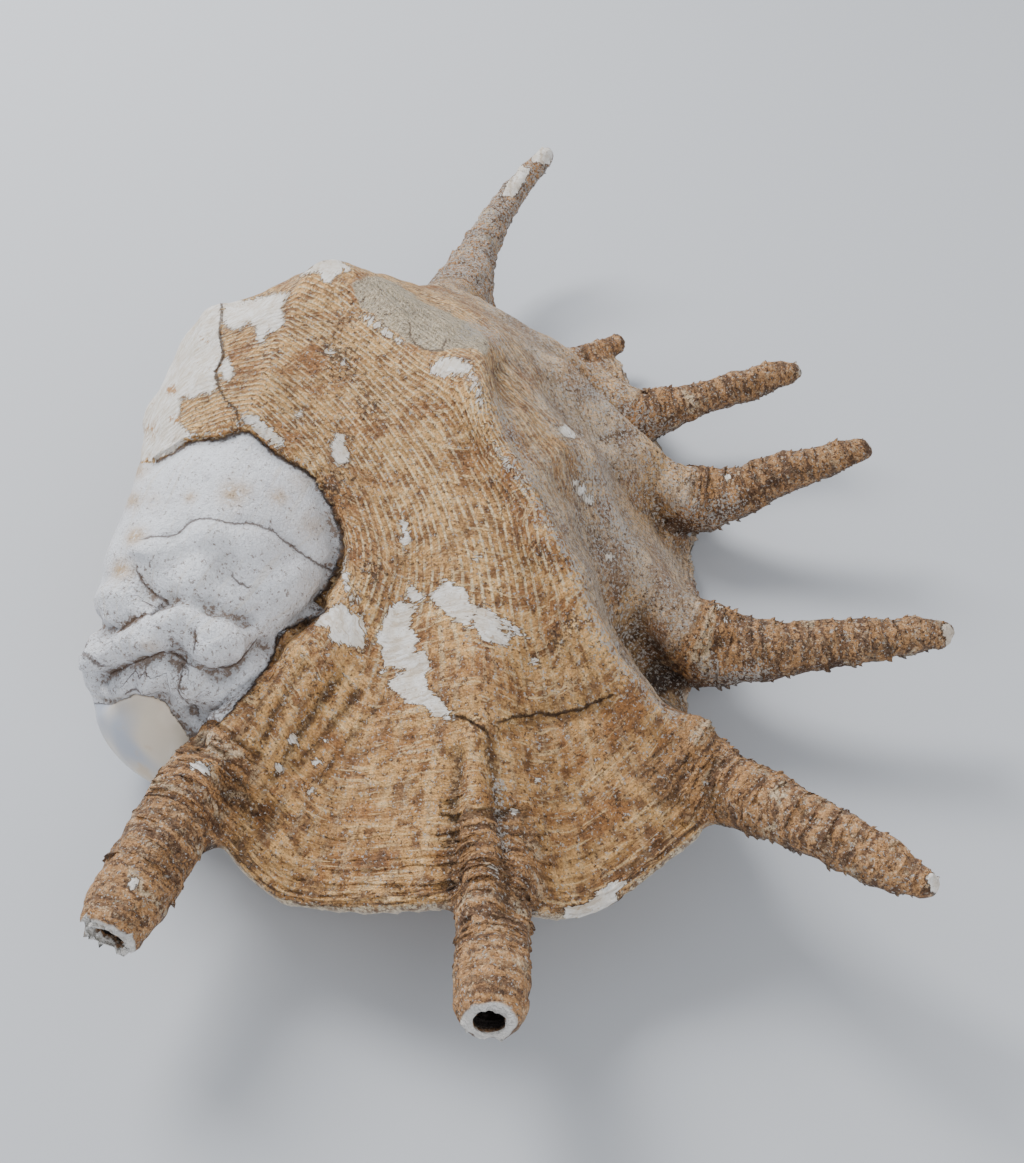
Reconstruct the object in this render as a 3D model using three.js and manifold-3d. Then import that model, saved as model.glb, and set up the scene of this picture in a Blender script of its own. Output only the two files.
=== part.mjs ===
// Giant spider conch shell, lying with its aperture down.
// Millimetres, +Z up, +Y toward the siphonal canal, +X toward the flared lip.
import * as THREE from "three";
import { mergeVertices } from "three/addons/utils/BufferGeometryUtils.js";
import Module from "manifold-3d";

const wasm = await Module();
wasm.setup();

const DEG = Math.PI / 180;
const DOWN = new THREE.Vector3(0, 0, -1);

// Small helpers

function clamp01(v) {
  return Math.min(1, Math.max(0, v));
}

function smooth(edge0, edge1, v) {
  const s = clamp01((v - edge0) / (edge1 - edge0));
  return s * s * (3 - 2 * s);
}

// Straight-line interpolation in a list of [key, value] pairs.
function along(pairs, key) {
  if (key <= pairs[0][0]) return pairs[0][1];
  for (let i = 1; i < pairs.length; i++) {
    const [k0, v0] = pairs[i - 1];
    const [k1, v1] = pairs[i];
    if (key <= k1) return v0 + ((v1 - v0) * (key - k0)) / (k1 - k0);
  }
  return pairs[pairs.length - 1][1];
}

// Catmull-Rom through a list of vectors, at a real-valued index.
function spline(points, index) {
  const last = points.length - 1;
  const i = Math.min(last - 1, Math.max(0, Math.floor(index)));
  const f = index - i;
  const p1 = points[i];
  const p2 = points[i + 1];
  const p0 = i > 0 ? points[i - 1] : p1.clone().multiplyScalar(2).sub(p2);
  const p3 = i + 1 < last ? points[i + 2] : p2.clone().multiplyScalar(2).sub(p1);
  const out = new THREE.Vector3();
  for (const axis of ["x", "y", "z"]) {
    const a = p0[axis];
    const b = p1[axis];
    const c = p2[axis];
    const d = p3[axis];
    out[axis] = b + 0.5 * f * (c - a + f * (2 * a - 5 * b + 4 * c - d + f * (3 * (b - c) + d - a)));
  }
  return out;
}

// A closed body from rings of equal length, fanned shut at both ends.
function loft(rings) {
  const count = rings[0].length;
  const positions = rings.flat().flatMap((p) => [p.x, p.y, p.z]);
  const indices = [];
  for (let r = 0; r + 1 < rings.length; r++) {
    for (let k = 0; k < count; k++) {
      const n = (k + 1) % count;
      const a = r * count + k;
      const b = r * count + n;
      indices.push(a, b, b + count, a, b + count, a + count);
    }
  }
  for (const [ring, turn] of [[0, 1], [rings.length - 1, -1]]) {
    const centre = new THREE.Vector3();
    rings[ring].forEach((p) => centre.add(p));
    centre.divideScalar(count);
    const hub = positions.length / 3;
    positions.push(centre.x, centre.y, centre.z);
    for (let k = 0; k < count; k++) {
      const a = ring * count + k;
      const b = ring * count + ((k + 1) % count);
      if (turn > 0) indices.push(hub, b, a);
      else indices.push(hub, a, b);
    }
  }
  const geometry = new THREE.BufferGeometry();
  geometry.setAttribute("position", new THREE.Float32BufferAttribute(positions, 3));
  geometry.setIndex(indices);
  return geometry;
}

function toSolid(geometry) {
  const bare = geometry.clone();
  bare.deleteAttribute("normal");
  bare.deleteAttribute("uv");
  const merged = mergeVertices(bare, 1e-4);
  const triVerts = new Uint32Array(merged.index.array);
  const vertProperties = new Float32Array(merged.attributes.position.array);
  let solid = new wasm.Manifold(new wasm.Mesh({ numProp: 3, vertProperties, triVerts }));
  if (solid.volume() < 0) {
    for (let i = 0; i < triVerts.length; i += 3) {
      [triVerts[i + 1], triVerts[i + 2]] = [triVerts[i + 2], triVerts[i + 1]];
    }
    solid = new wasm.Manifold(new wasm.Mesh({ numProp: 3, vertProperties, triVerts }));
  }
  return solid;
}

function toGeometry(solid) {
  const mesh = solid.getMesh();
  const geometry = new THREE.BufferGeometry();
  geometry.setAttribute("position", new THREE.Float32BufferAttribute(mesh.vertProperties, 3));
  geometry.setIndex(Array.from(mesh.triVerts));
  geometry.computeVertexNormals();
  return geometry;
}

// Coil axis: it runs along Y, a little tilted and bent.
const AXIS_X = [[-90, -53], [-40, -56.5], [0, -62.5], [21, -65], [60, -66], [110, -66]];
const AXIS_Z = [[-90, 46], [0, 45], [21, 44], [60, 38], [110, 27]];

// A point at a distance from the coil axis. The angle is 0 on top and grows toward +X.
function aroundAxis(y, radius, degrees) {
  const a = degrees * DEG;
  return new THREE.Vector3(
    along(AXIS_X, y) + radius * Math.sin(a),
    y,
    along(AXIS_Z, y) + radius * Math.cos(a),
  );
}

// Body whorl and lip.
// Sixteen cords run with the growth of the shell, from the last suture (0) to the canal (15).
// Each has its place and radius on top of the coil, then points over the crest to the lip's edge.
const CORDS = [
  // last suture, along the spire's right flank
  { y: -27, r: 35, over: [[-42, -31, 72], [-29, -37, 58], [-32, -56, 47], [-37, -76, 40], [-45, -96, 30]] },
  // digit 6, under the spire
  { y: -18, r: 38, over: [[-38, -26, 76], [-21, -42, 63], [-23, -64, 53], [-28, -84, 47], [-31, -102, 38]] },
  { y: -8, r: 42, over: [[-36, -17, 81], [-11, -35, 69], [-5, -60, 53], [-3, -85, 38], [-4, -107, 27]] },
  // digit 5, broken off
  { y: 2, r: 45, over: [[-34, -8, 86], [-4, -27, 77], [13, -50, 64], [26, -75, 49], [38, -97, 37]] },
  { y: 11, r: 48, over: [[-33, 1, 91], [5, -22, 84], [29, -46, 62], [44, -64, 42], [58, -80, 27]] },
  // shoulder and digit 4
  { y: 21, r: 49.5, over: [[-32, 11, 93], [14, -22, 87], [44, -39, 62], [59, -42, 46], [75, -46, 35]] },
  { y: 32, r: 48, over: [[-30, 24, 88], [10, 2, 74], [30, -8, 47], [42, -8, 20], [53, -3, 1.5]] },
  // digit 3
  { y: 42, r: 43.5, over: [[-29, 36, 80], [4, 22, 65], [25, 12, 45], [40, 8, 33], [51, 7, 24]] },
  { y: 54, r: 36.5, over: [[-32, 52, 71], [-8, 46, 56], [10, 46, 37], [23, 51, 17], [33, 57, 1.5]] },
  // digit 2
  { y: 66, r: 29.8, over: [[-38, 66, 61], [-14, 66, 50], [6, 64, 37], [20, 64, 28], [32, 64, 22]] },
  { y: 76, r: 25, over: [[-43, 79, 53.5], [-22, 81, 41.5], [-7, 84, 28], [3, 88, 15], [11, 92, 6]] },
  // digit 1
  { y: 86, r: 21.5, over: [[-47, 89, 48.5], [-30, 92, 38], [-17, 94, 30], [-6, 96, 25], [5, 97, 20]] },
  { y: 95, r: 18.5, over: [[-50, 96, 42], [-39, 101, 29], [-29, 105, 21], [-19, 111, 16], [-9, 117, 11]] },
  // stub beside the notch
  { y: 102, r: 16.2, over: [[-55, 101, 36], [-47, 106, 24], [-39, 113, 17], [-32, 122, 14], [-25, 132, 12]] },
  { y: 109, r: 14.5, over: [[-59, 106, 31], [-55, 109, 21], [-51, 115, 15], [-47, 121, 10], [-43, 128, 6]] },
  { y: 116, r: 14, over: [[-62, 112, 34], [-58, 110, 27], [-57, 112, 22], [-58, 115, 18], [-60, 118, 15]] },
];
const LAST_CORD = CORDS.length - 1;
// The coil narrows away from the growing edge, fast at first.
const COIL_SHRINK = 0.12;
const COIL_SHRINK_ANGLE = 25;
const COIL_ANGLES = [-190, -168, -146, -124, -102, -80, -60, -42, -26, -12, 0];
// Cords rise toward the canal as they grow: mm of Y per degree, at the suture and at the canal.
const PITCH_AT_SUTURE = 0.2;
const PITCH_AT_CANAL = 0;
const ROWS_PER_CORD = 3;
const STEPS_PER_SPAN = 3;

// Knobs on the shoulder, and one dent between two of them.
const KNOBS = [
  { at: new THREE.Vector3(-58, 21, 93), height: 3, reach: 11 },
  { at: new THREE.Vector3(-84, 18, 86), height: -4, reach: 12 },
  { at: new THREE.Vector3(-99, 16, 70), height: 5, reach: 7.5 },
  { at: new THREE.Vector3(-9, -4, 91), height: 6, reach: 12 },
  { at: new THREE.Vector3(-108, -2, 45), height: 6.5, reach: 12 },
  { at: new THREE.Vector3(16, -24, 86), height: 3, reach: 10 },
];
const KNOB_CORE = new THREE.Vector3(-50, 0, 45);

// Folds of the lip: a ridge runs up from each digit, and a shallow trough lies between two of them.
const FOLD_WAY = new THREE.Vector3(0.3, 0, 0.95);
const FOLDS = [
  // digit 6, panel, digit 5, panel
  { line: [[-24, -46, 63], [-28, -72, 51], [-31, -98, 40]], height: 2.5, reach: 9 },
  { line: [[-8, -58, 56], [-4, -82, 41], [-4, -104, 29]], height: -2.5, reach: 12 },
  { line: [[17, -56, 61], [27, -75, 49], [38, -96, 38]], height: 3, reach: 8 },
  { line: [[28, -46, 63], [42, -62, 44], [56, -78, 29]], height: -2, reach: 10 },
  // digit 4, web, digit 3, web, digit 2, web, digit 1
  { line: [[22, -26, 82], [44, -39, 62], [70, -45, 42]], height: 2.5, reach: 8 },
  { line: [[22, -2, 60], [34, -8, 42], [44, -8, 20]], height: -3, reach: 9 },
  { line: [[10, 19, 60], [28, 11, 43], [52, 6, 29]], height: 5, reach: 9 },
  { line: [[-4, 46, 52], [10, 47, 37], [26, 53, 14]], height: -3, reach: 9 },
  { line: [[-12, 66, 49], [8, 64, 36], [30, 64, 26]], height: 3.5, reach: 8 },
  { line: [[-20, 81, 40], [-6, 85, 27], [4, 89, 13]], height: -2, reach: 7 },
  { line: [[-28, 92, 37], [-15, 94, 29], [0, 95, 23]], height: 2.5, reach: 7 },
];

function distanceToLine(p, line) {
  let nearest = Infinity;
  for (let i = 1; i < line.length; i++) {
    const span = new THREE.Line3(new THREE.Vector3(...line[i - 1]), new THREE.Vector3(...line[i]));
    const foot = span.closestPointToPoint(p, true, new THREE.Vector3());
    nearest = Math.min(nearest, foot.distanceTo(p));
  }
  return nearest;
}

function pushForms(p) {
  const out = p.clone();
  for (const fold of FOLDS) {
    const share = distanceToLine(p, fold.line) / fold.reach;
    out.addScaledVector(FOLD_WAY, fold.height * Math.exp(-share * share));
  }
  for (const knob of KNOBS) {
    const near = Math.exp(-p.distanceToSquared(knob.at) / (knob.reach * knob.reach));
    const away = knob.at.clone().sub(KNOB_CORE).normalize();
    out.addScaledVector(away, knob.height * near);
  }
  return out;
}

function coilPoint(cord, index, degrees) {
  const pitch = PITCH_AT_SUTURE + (PITCH_AT_CANAL - PITCH_AT_SUTURE) * (index / LAST_CORD);
  const shrink = 1 - COIL_SHRINK * (1 - Math.exp(degrees / COIL_SHRINK_ANGLE));
  const here = aroundAxis(cord.y, cord.r * shrink, degrees);
  here.y += pitch * degrees;
  return here;
}

// Lower side: it follows the outside of the lip at the lip's thickness, then turns down along
// the columella and runs back under the belly to where the coil began.
// Each entry names one of a cord's over points, and how far the thickness there goes straight down.
const LIP_SECTIONS = [
  { over: 4, thickness: 5.5, down: 0.8 },
  { over: 3, thickness: 7.5, down: 0.6 },
  { over: 2, thickness: 9.5, down: 0.3 },
  { over: 1, thickness: 13, down: 0 },
];
const STEEP_BELOW_Z = 6;
const FLAT_ABOVE_Z = 22;
// The belly is worn flat where it lies on the ground.
const FLOOR = 1.5;
const COLUMELLA_X = [[0, -36], [2, -27], [5, -20], [8, -22], [10, -31], [12, -42], [14, -56], [15, -62]];
const COLUMELLA_Y = [[0, -64], [1, -54], [3, -32], [5, -6], [8, 34], [11, 74], [13, 99], [15, 117]];
const COLUMELLA_TOP_Z = [[0, 30], [3, 28], [8, 26], [12, 22], [15, 20]];
const COLUMELLA_FOOT_RISE = 5;
const COLUMELLA_FOOT_BACK = 1;
const BELLY_Z = [[0, 8], [2, 3], [4, 0], [7, 0], [9, 4], [11, 9], [13, 12], [15, 13]];
const BELLY_BACK = 13;
// Middle of the space under the lip: the lip's thickness is measured toward it.
const UNDER_LIP_X = [[0, -30], [1, -22], [3, 0], [5, 8], [8, -4], [10, -16], [12, -30], [15, -58]];
const UNDER_LIP_Y = [[0, -70], [1, -66], [3, -56], [5, -26], [8, 42], [11, 84], [13, 106], [15, 119]];
const UNDER_LIP_Z = [[0, 20], [3, 24], [5, 32], [8, 22], [10, 13], [12, 10], [15, 15]];

function bodyLoop(cord, index) {
  const coil = COIL_ANGLES.map((a) => coilPoint(cord, index, a));
  const over = cord.over.map((p) => new THREE.Vector3(...p));
  const outer = [coil[coil.length - 2], coil[coil.length - 1], ...over];
  const loop = coil.slice(0, -1);
  for (let s = 1; s < outer.length - 1; s++) {
    for (let k = 0; k < STEPS_PER_SPAN; k++) loop.push(spline(outer, s + k / STEPS_PER_SPAN));
  }
  loop.push(outer[outer.length - 1]);
  const middle = new THREE.Vector3(
    along(UNDER_LIP_X, index),
    along(UNDER_LIP_Y, index),
    along(UNDER_LIP_Z, index),
  );
  // Where the lip lies flat its thickness goes straight down, where it is steep it goes inward.
  for (const section of LIP_SECTIONS) {
    const p = over[section.over];
    const drop = section.down * smooth(STEEP_BELOW_Z, FLAT_ABOVE_Z, p.z);
    const toward = middle.clone().sub(p).normalize().lerp(DOWN, drop);
    loop.push(p.clone().addScaledVector(toward, section.thickness));
  }
  const x = along(COLUMELLA_X, index);
  const y = along(COLUMELLA_Y, index);
  const bellyZ = along(BELLY_Z, index);
  loop.push(
    new THREE.Vector3(x, y, along(COLUMELLA_TOP_Z, index)),
    new THREE.Vector3(x - COLUMELLA_FOOT_BACK, y, bellyZ + COLUMELLA_FOOT_RISE),
    new THREE.Vector3(x - BELLY_BACK, y, bellyZ),
  );
  return loop;
}

function bodySolid() {
  const loops = CORDS.map(bodyLoop);
  const count = loops[0].length;
  const rows = [];
  for (let r = 0; r <= LAST_CORD * ROWS_PER_CORD; r++) {
    const row = [];
    for (let k = 0; k < count; k++) {
      const line = loops.map((loop) => loop[k]);
      const p = pushForms(spline(line, r / ROWS_PER_CORD));
      p.z = Math.max(FLOOR, p.z);
      row.push(p);
    }
    rows.push(row);
  }
  return toSolid(loft(rows));
}

// Spire: slanted whorls, each a step narrower than the next, with a worn, blunt end.
const SPIRE_SIDES = 26;
const SPIRE_SLANT_ANGLE = 35;
// Place along the axis, radius, slant, lump height and swell of each ring.
// The swell fills the flank toward the lip, where the whorls lie against the body.
const SPIRE_RINGS = [
  { y: -8, r: 31, slant: 8, lump: 0, swell: 0 },
  { y: -20, r: 32.5, slant: 12, lump: 0.2, swell: 2 },
  { y: -30, r: 32, slant: 14, lump: 0.4, swell: 3 },
  { y: -40, r: 28.8, slant: 14, lump: 0.5, swell: 4.6 },
  { y: -47, r: 26.6, slant: 14, lump: 0.4, swell: 5.2 },
  { y: -50.5, r: 24.2, slant: 14, lump: 0.2, swell: 6 },
  { y: -52.5, r: 22.4, slant: 14, lump: 0.4, swell: 6.4 },
  { y: -55.5, r: 21.9, slant: 13, lump: 1.1, swell: 6.6 },
  { y: -59, r: 20.8, slant: 12, lump: 1.6, swell: 6.6 },
  { y: -63.5, r: 19.2, slant: 10, lump: 1.1, swell: 6 },
  { y: -66.5, r: 18.6, slant: 8, lump: 0.6, swell: 5.6 },
  { y: -69.5, r: 18.6, slant: 7, lump: 1.3, swell: 5 },
  { y: -73, r: 18, slant: 6, lump: 2, swell: 4 },
  { y: -77, r: 16.2, slant: 4, lump: 1.8, swell: 2 },
  { y: -80.5, r: 12.5, slant: 3, lump: 1.3, swell: 1 },
  { y: -82.5, r: 7, slant: 2, lump: 0.4, swell: 0 },
];
const SWELL_ANGLE = 74;
const LUMPS_PER_TURN = 9;
const LUMP_STAGGER = 0.23;

function spireSolid() {
  const rings = SPIRE_RINGS.map((ring) => {
    const points = [];
    for (let k = 0; k < SPIRE_SIDES; k++) {
      const degrees = (360 * k) / SPIRE_SIDES;
      const y = ring.y + ring.slant * Math.sin((degrees - SPIRE_SLANT_ANGLE) * DEG);
      const wave = Math.cos(LUMPS_PER_TURN * (degrees * DEG + LUMP_STAGGER * ring.y));
      const flank = Math.max(0, Math.cos((degrees - SWELL_ANGLE) * DEG));
      points.push(aroundAxis(y, ring.r + ring.lump * wave + ring.swell * flank * flank, degrees));
    }
    return points;
  });
  return toSolid(loft(rings));
}

// Callus: the smooth swelling below the spire.
const CALLUS_SIDES = 20;
const CALLUS_RINGS = [
  { y: -87, x: -56, z: 25, r: 8 },
  { y: -84, x: -57, z: 25, r: 14 },
  { y: -77, x: -59, z: 26, r: 19.5 },
  { y: -67, x: -60, z: 26, r: 22.5 },
  { y: -53, x: -60, z: 27, r: 23.5 },
  { y: -36, x: -62, z: 29, r: 25 },
  { y: -15, x: -65, z: 33, r: 27 },
];

function callusSolid() {
  const rings = CALLUS_RINGS.map((ring) => {
    const points = [];
    for (let k = 0; k < CALLUS_SIDES; k++) {
      const a = (2 * Math.PI * k) / CALLUS_SIDES;
      points.push(new THREE.Vector3(ring.x + ring.r * Math.sin(a), ring.y, ring.z + ring.r * Math.cos(a)));
    }
    return points;
  });
  return toSolid(loft(rings));
}

// Digits and canal: tapered tubes along a curve, [x, y, z, radius] from root to tip.
const TUBE_SIDES = 12;
const STEPS_PER_POINT = 3;
const DIRECTION_SPAN = 0.1;
// A rounded tip ends in one smaller ring: how far on it lies and how wide it is, in tip radii.
const TIP_REACH = 0.5;
const TIP_WIDTH = 0.7;
const CANAL = [
  [-68, 90, 36, 11], [-71, 110, 30, 11.6], [-76, 128, 29, 8.6], [-80, 147, 30, 6], [-81, 167, 34, 4.8],
  [-78, 179, 40, 4.2], [-73, 187, 47, 2.6],
];
const STUB = [[-38, 113, 16, 3], [-30, 124, 12.5, 4.6], [-23.5, 135, 13.5, 3.2]];
const DIGITS = [
  [
    [-12, 91, 27, 4], [-1, 93, 20, 8], [9, 100, 21, 6.2], [20, 109, 24, 5], [31, 117, 27, 4.8],
    [39, 122, 30, 3],
  ],
  [
    [18, 60, 26, 5], [28, 63, 20, 10], [39, 66.5, 22.5, 7.6], [50, 72, 29.5, 6.1], [61, 78, 34, 5],
    [70, 83, 38, 3.2],
  ],
  [
    [36, 3, 32, 6], [48, 4, 24.5, 11.4], [60, 6, 25, 9], [72, 9.5, 27.6, 7], [84, 14, 30.5, 5.8],
    [97, 20, 33, 5], [108, 25, 34, 3],
  ],
  [
    [48, -41, 46, 5], [60, -43.5, 38, 10.6], [72, -45.5, 36, 9], [85, -49, 39.5, 7.2],
    [96, -52, 41.5, 6.4], [109, -55, 42.5, 5.6], [121, -57, 42, 3.2],
  ],
];
const BROKEN_DIGITS = [
  [[21, -66, 50, 3], [34, -84, 38, 8.6], [43, -101, 37, 7.6], [48, -112, 38, 7.8], [52, -122, 40, 7.6]],
  [[-27, -68, 47, 3], [-31, -89, 37, 9.6], [-31, -108, 36, 8.6], [-30, -122, 36, 8.4], [-28, -136, 36, 7.4]],
];
const BROKEN_BORE = { mouthRadius: 4, endRadius: 2, depth: 15 };

function tube(points, sides, round) {
  const centres = points.map((p) => new THREE.Vector3(p[0], p[1], p[2]));
  const radii = points.map((p) => new THREE.Vector3(p[3], 0, 0));
  const spans = points.length - 1;
  const steps = spans * STEPS_PER_POINT;
  const rings = [];
  let side = new THREE.Vector3(0, 0, 1);
  for (let i = 0; i <= steps; i++) {
    const index = i / STEPS_PER_POINT;
    const centre = spline(centres, index);
    const radius = spline(radii, index).x;
    const front = spline(centres, Math.min(spans, index + DIRECTION_SPAN));
    const back = spline(centres, Math.max(0, index - DIRECTION_SPAN));
    const ahead = front.sub(back).normalize();
    side = side.clone().addScaledVector(ahead, -side.dot(ahead)).normalize();
    const other = new THREE.Vector3().crossVectors(ahead, side);
    const ringAt = (shift, scale) => {
      const ring = [];
      for (let k = 0; k < sides; k++) {
        const a = (2 * Math.PI * k) / sides;
        ring.push(
          centre
            .clone()
            .addScaledVector(ahead, shift)
            .addScaledVector(side, radius * scale * Math.cos(a))
            .addScaledVector(other, radius * scale * Math.sin(a)),
        );
      }
      return ring;
    };
    rings.push(ringAt(0, 1));
    if (i === steps && round) rings.push(ringAt(radius * TIP_REACH, TIP_WIDTH));
  }
  return toSolid(loft(rings));
}

function boreOf(points) {
  const [tip, before] = [points[points.length - 1], points[points.length - 2]];
  const end = new THREE.Vector3(tip[0], tip[1], tip[2]);
  const back = new THREE.Vector3(before[0], before[1], before[2]).sub(end).normalize();
  const inside = end.clone().addScaledVector(back, BROKEN_BORE.depth);
  const outside = end.clone().addScaledVector(back, -BROKEN_BORE.mouthRadius);
  const bore = [
    [inside.x, inside.y, inside.z, BROKEN_BORE.endRadius],
    [outside.x, outside.y, outside.z, BROKEN_BORE.mouthRadius],
  ];
  return tube(bore, TUBE_SIDES, false);
}

// Hollow of the last whorl: it opens between lip and columella and follows the coil inward.
// Angle around the axis, middle and half size along Y, middle and half size outward, how far
// it leans outward for each millimetre toward the spire, and how far it follows the coil's taper.
const HOLLOW_SIDES = 14;
const HOLLOW_SECTIONS = [
  { angle: 112, y: 18, halfY: 62, r: 60, halfR: 15, lean: 0.2, follow: 0 },
  { angle: 88, y: 18, halfY: 56, r: 57, halfR: 17, lean: 0.2, follow: 0 },
  { angle: 64, y: 16, halfY: 46, r: 47, halfR: 14, lean: 0.25, follow: 0 },
  { angle: 40, y: 16, halfY: 38, r: 39, halfR: 11.5, lean: 0, follow: 1 },
  { angle: 16, y: 16, halfY: 38, r: 33, halfR: 11.5, lean: 0, follow: 1 },
  { angle: -12, y: 14, halfY: 36, r: 29.5, halfR: 10.5, lean: 0, follow: 1 },
  { angle: -42, y: 11, halfY: 34, r: 28.5, halfR: 10, lean: 0, follow: 1 },
  { angle: -75, y: 8, halfY: 32, r: 28, halfR: 10, lean: 0, follow: 1 },
  { angle: -110, y: 5, halfY: 30, r: 28, halfR: 10, lean: 0, follow: 1 },
  { angle: -145, y: 2, halfY: 26, r: 27, halfR: 9, lean: 0, follow: 1 },
  { angle: -180, y: 0, halfY: 20, r: 26, halfR: 7, lean: 0, follow: 1 },
];

function hollowSolid() {
  const profile = CORDS.map((cord) => [cord.y, cord.r]);
  const widest = Math.max(...CORDS.map((cord) => cord.r));
  const rings = HOLLOW_SECTIONS.map((section) => {
    const points = [];
    for (let k = 0; k < HOLLOW_SIDES; k++) {
      const a = (2 * Math.PI * k) / HOLLOW_SIDES;
      const y = section.y + section.halfY * Math.cos(a);
      const taper = 1 + section.follow * (along(profile, y) / widest - 1);
      const middle = section.r * taper - section.lean * (y - section.y);
      points.push(aroundAxis(y, middle + section.halfR * Math.sin(a), section.angle));
    }
    return points;
  });
  return toSolid(loft(rings));
}

function shellSolid() {
  let solid = bodySolid();
  solid = solid.add(spireSolid()).add(callusSolid());
  solid = solid.subtract(hollowSolid());
  for (const points of [...DIGITS, STUB, CANAL]) solid = solid.add(tube(points, TUBE_SIDES, true));
  for (const points of BROKEN_DIGITS) solid = solid.add(tube(points, TUBE_SIDES, false));
  for (const points of BROKEN_DIGITS) solid = solid.subtract(boreOf(points));
  return solid;
}

// The origin is in the middle of the shell's box, on the ground.
function placeOnGround(geometry) {
  geometry.computeBoundingBox();
  const { min, max } = geometry.boundingBox;
  return geometry.translate(-(min.x + max.x) / 2, -(min.y + max.y) / 2, -min.z);
}

const wornShell = new THREE.MeshStandardMaterial({ color: 0xa57c50, roughness: 0.75, metalness: 0 });
const shell = new THREE.Mesh(placeOnGround(toGeometry(shellSolid())), wornShell);
shell.name = "shell";

const part = new THREE.Group();
part.name = "spider_conch";
part.add(shell);

export default part;
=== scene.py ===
# Giant spider conch shell lying with its aperture down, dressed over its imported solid.
import math

import bpy
import numpy as np
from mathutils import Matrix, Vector, noise
from mathutils.bvhtree import BVHTree
from mathutils.kdtree import KDTree


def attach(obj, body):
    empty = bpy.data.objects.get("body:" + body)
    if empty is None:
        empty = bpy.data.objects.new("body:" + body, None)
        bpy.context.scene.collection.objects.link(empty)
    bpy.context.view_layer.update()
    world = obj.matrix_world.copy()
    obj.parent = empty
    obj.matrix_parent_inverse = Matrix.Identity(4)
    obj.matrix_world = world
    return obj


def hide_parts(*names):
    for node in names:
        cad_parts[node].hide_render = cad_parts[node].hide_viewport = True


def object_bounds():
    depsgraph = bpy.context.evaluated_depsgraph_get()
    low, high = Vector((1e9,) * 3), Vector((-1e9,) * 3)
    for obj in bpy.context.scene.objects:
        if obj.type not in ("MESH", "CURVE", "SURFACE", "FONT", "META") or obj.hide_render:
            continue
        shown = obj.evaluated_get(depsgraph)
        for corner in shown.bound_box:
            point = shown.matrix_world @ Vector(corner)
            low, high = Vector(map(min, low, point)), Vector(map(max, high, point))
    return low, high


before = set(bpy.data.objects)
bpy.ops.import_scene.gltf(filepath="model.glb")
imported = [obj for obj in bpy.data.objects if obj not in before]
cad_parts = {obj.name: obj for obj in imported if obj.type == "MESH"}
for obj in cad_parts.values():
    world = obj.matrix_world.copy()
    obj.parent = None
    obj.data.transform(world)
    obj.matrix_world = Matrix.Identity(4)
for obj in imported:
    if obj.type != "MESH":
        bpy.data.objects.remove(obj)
cad_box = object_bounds()
shell_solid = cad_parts["shell"]

MM = 0.001
cad_low = np.array(cad_box[0]) / MM
cad_high = np.array(cad_box[1]) / MM

# Camera: the photograph's viewing angle. Places are in mm in the row frame.
PHOTO_WIDTH = 1024
PHOTO_HEIGHT = 1163
CAMERA_TARGET = np.array([-6.15, -26.05, 28.5])
CAMERA_AZIMUTH = math.radians(25)
CAMERA_ELEVATION = math.radians(44)
CAMERA_DISTANCE = 380
FOCAL_PIXELS = 1450
SENSOR = 36

# The shell's forms are drawn about this point of the row frame: what the source adds to centre them.
DRAWING_TO_ROW = np.array([-6.15, -26.05, -1.5])

# Surface mesh, in mm
VOXEL = 1.45
SMOOTHING_PASSES = 34
FILLET_PASSES = 70
SMOOTH_IN = 0.5
SMOOTH_OUT = -0.53
FILL_STEP = 0.6

# Coil axis: place along Y, then X and Z
AXIS_Y = [-90, -40, 0, 21, 60, 110]
AXIS_X = [-53, -56.5, -62.5, -65, -66, -66]
AXIS_Z_Y = [-90, 0, 21, 60, 110]
AXIS_Z = [46, 45, 44, 38, 27]

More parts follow.
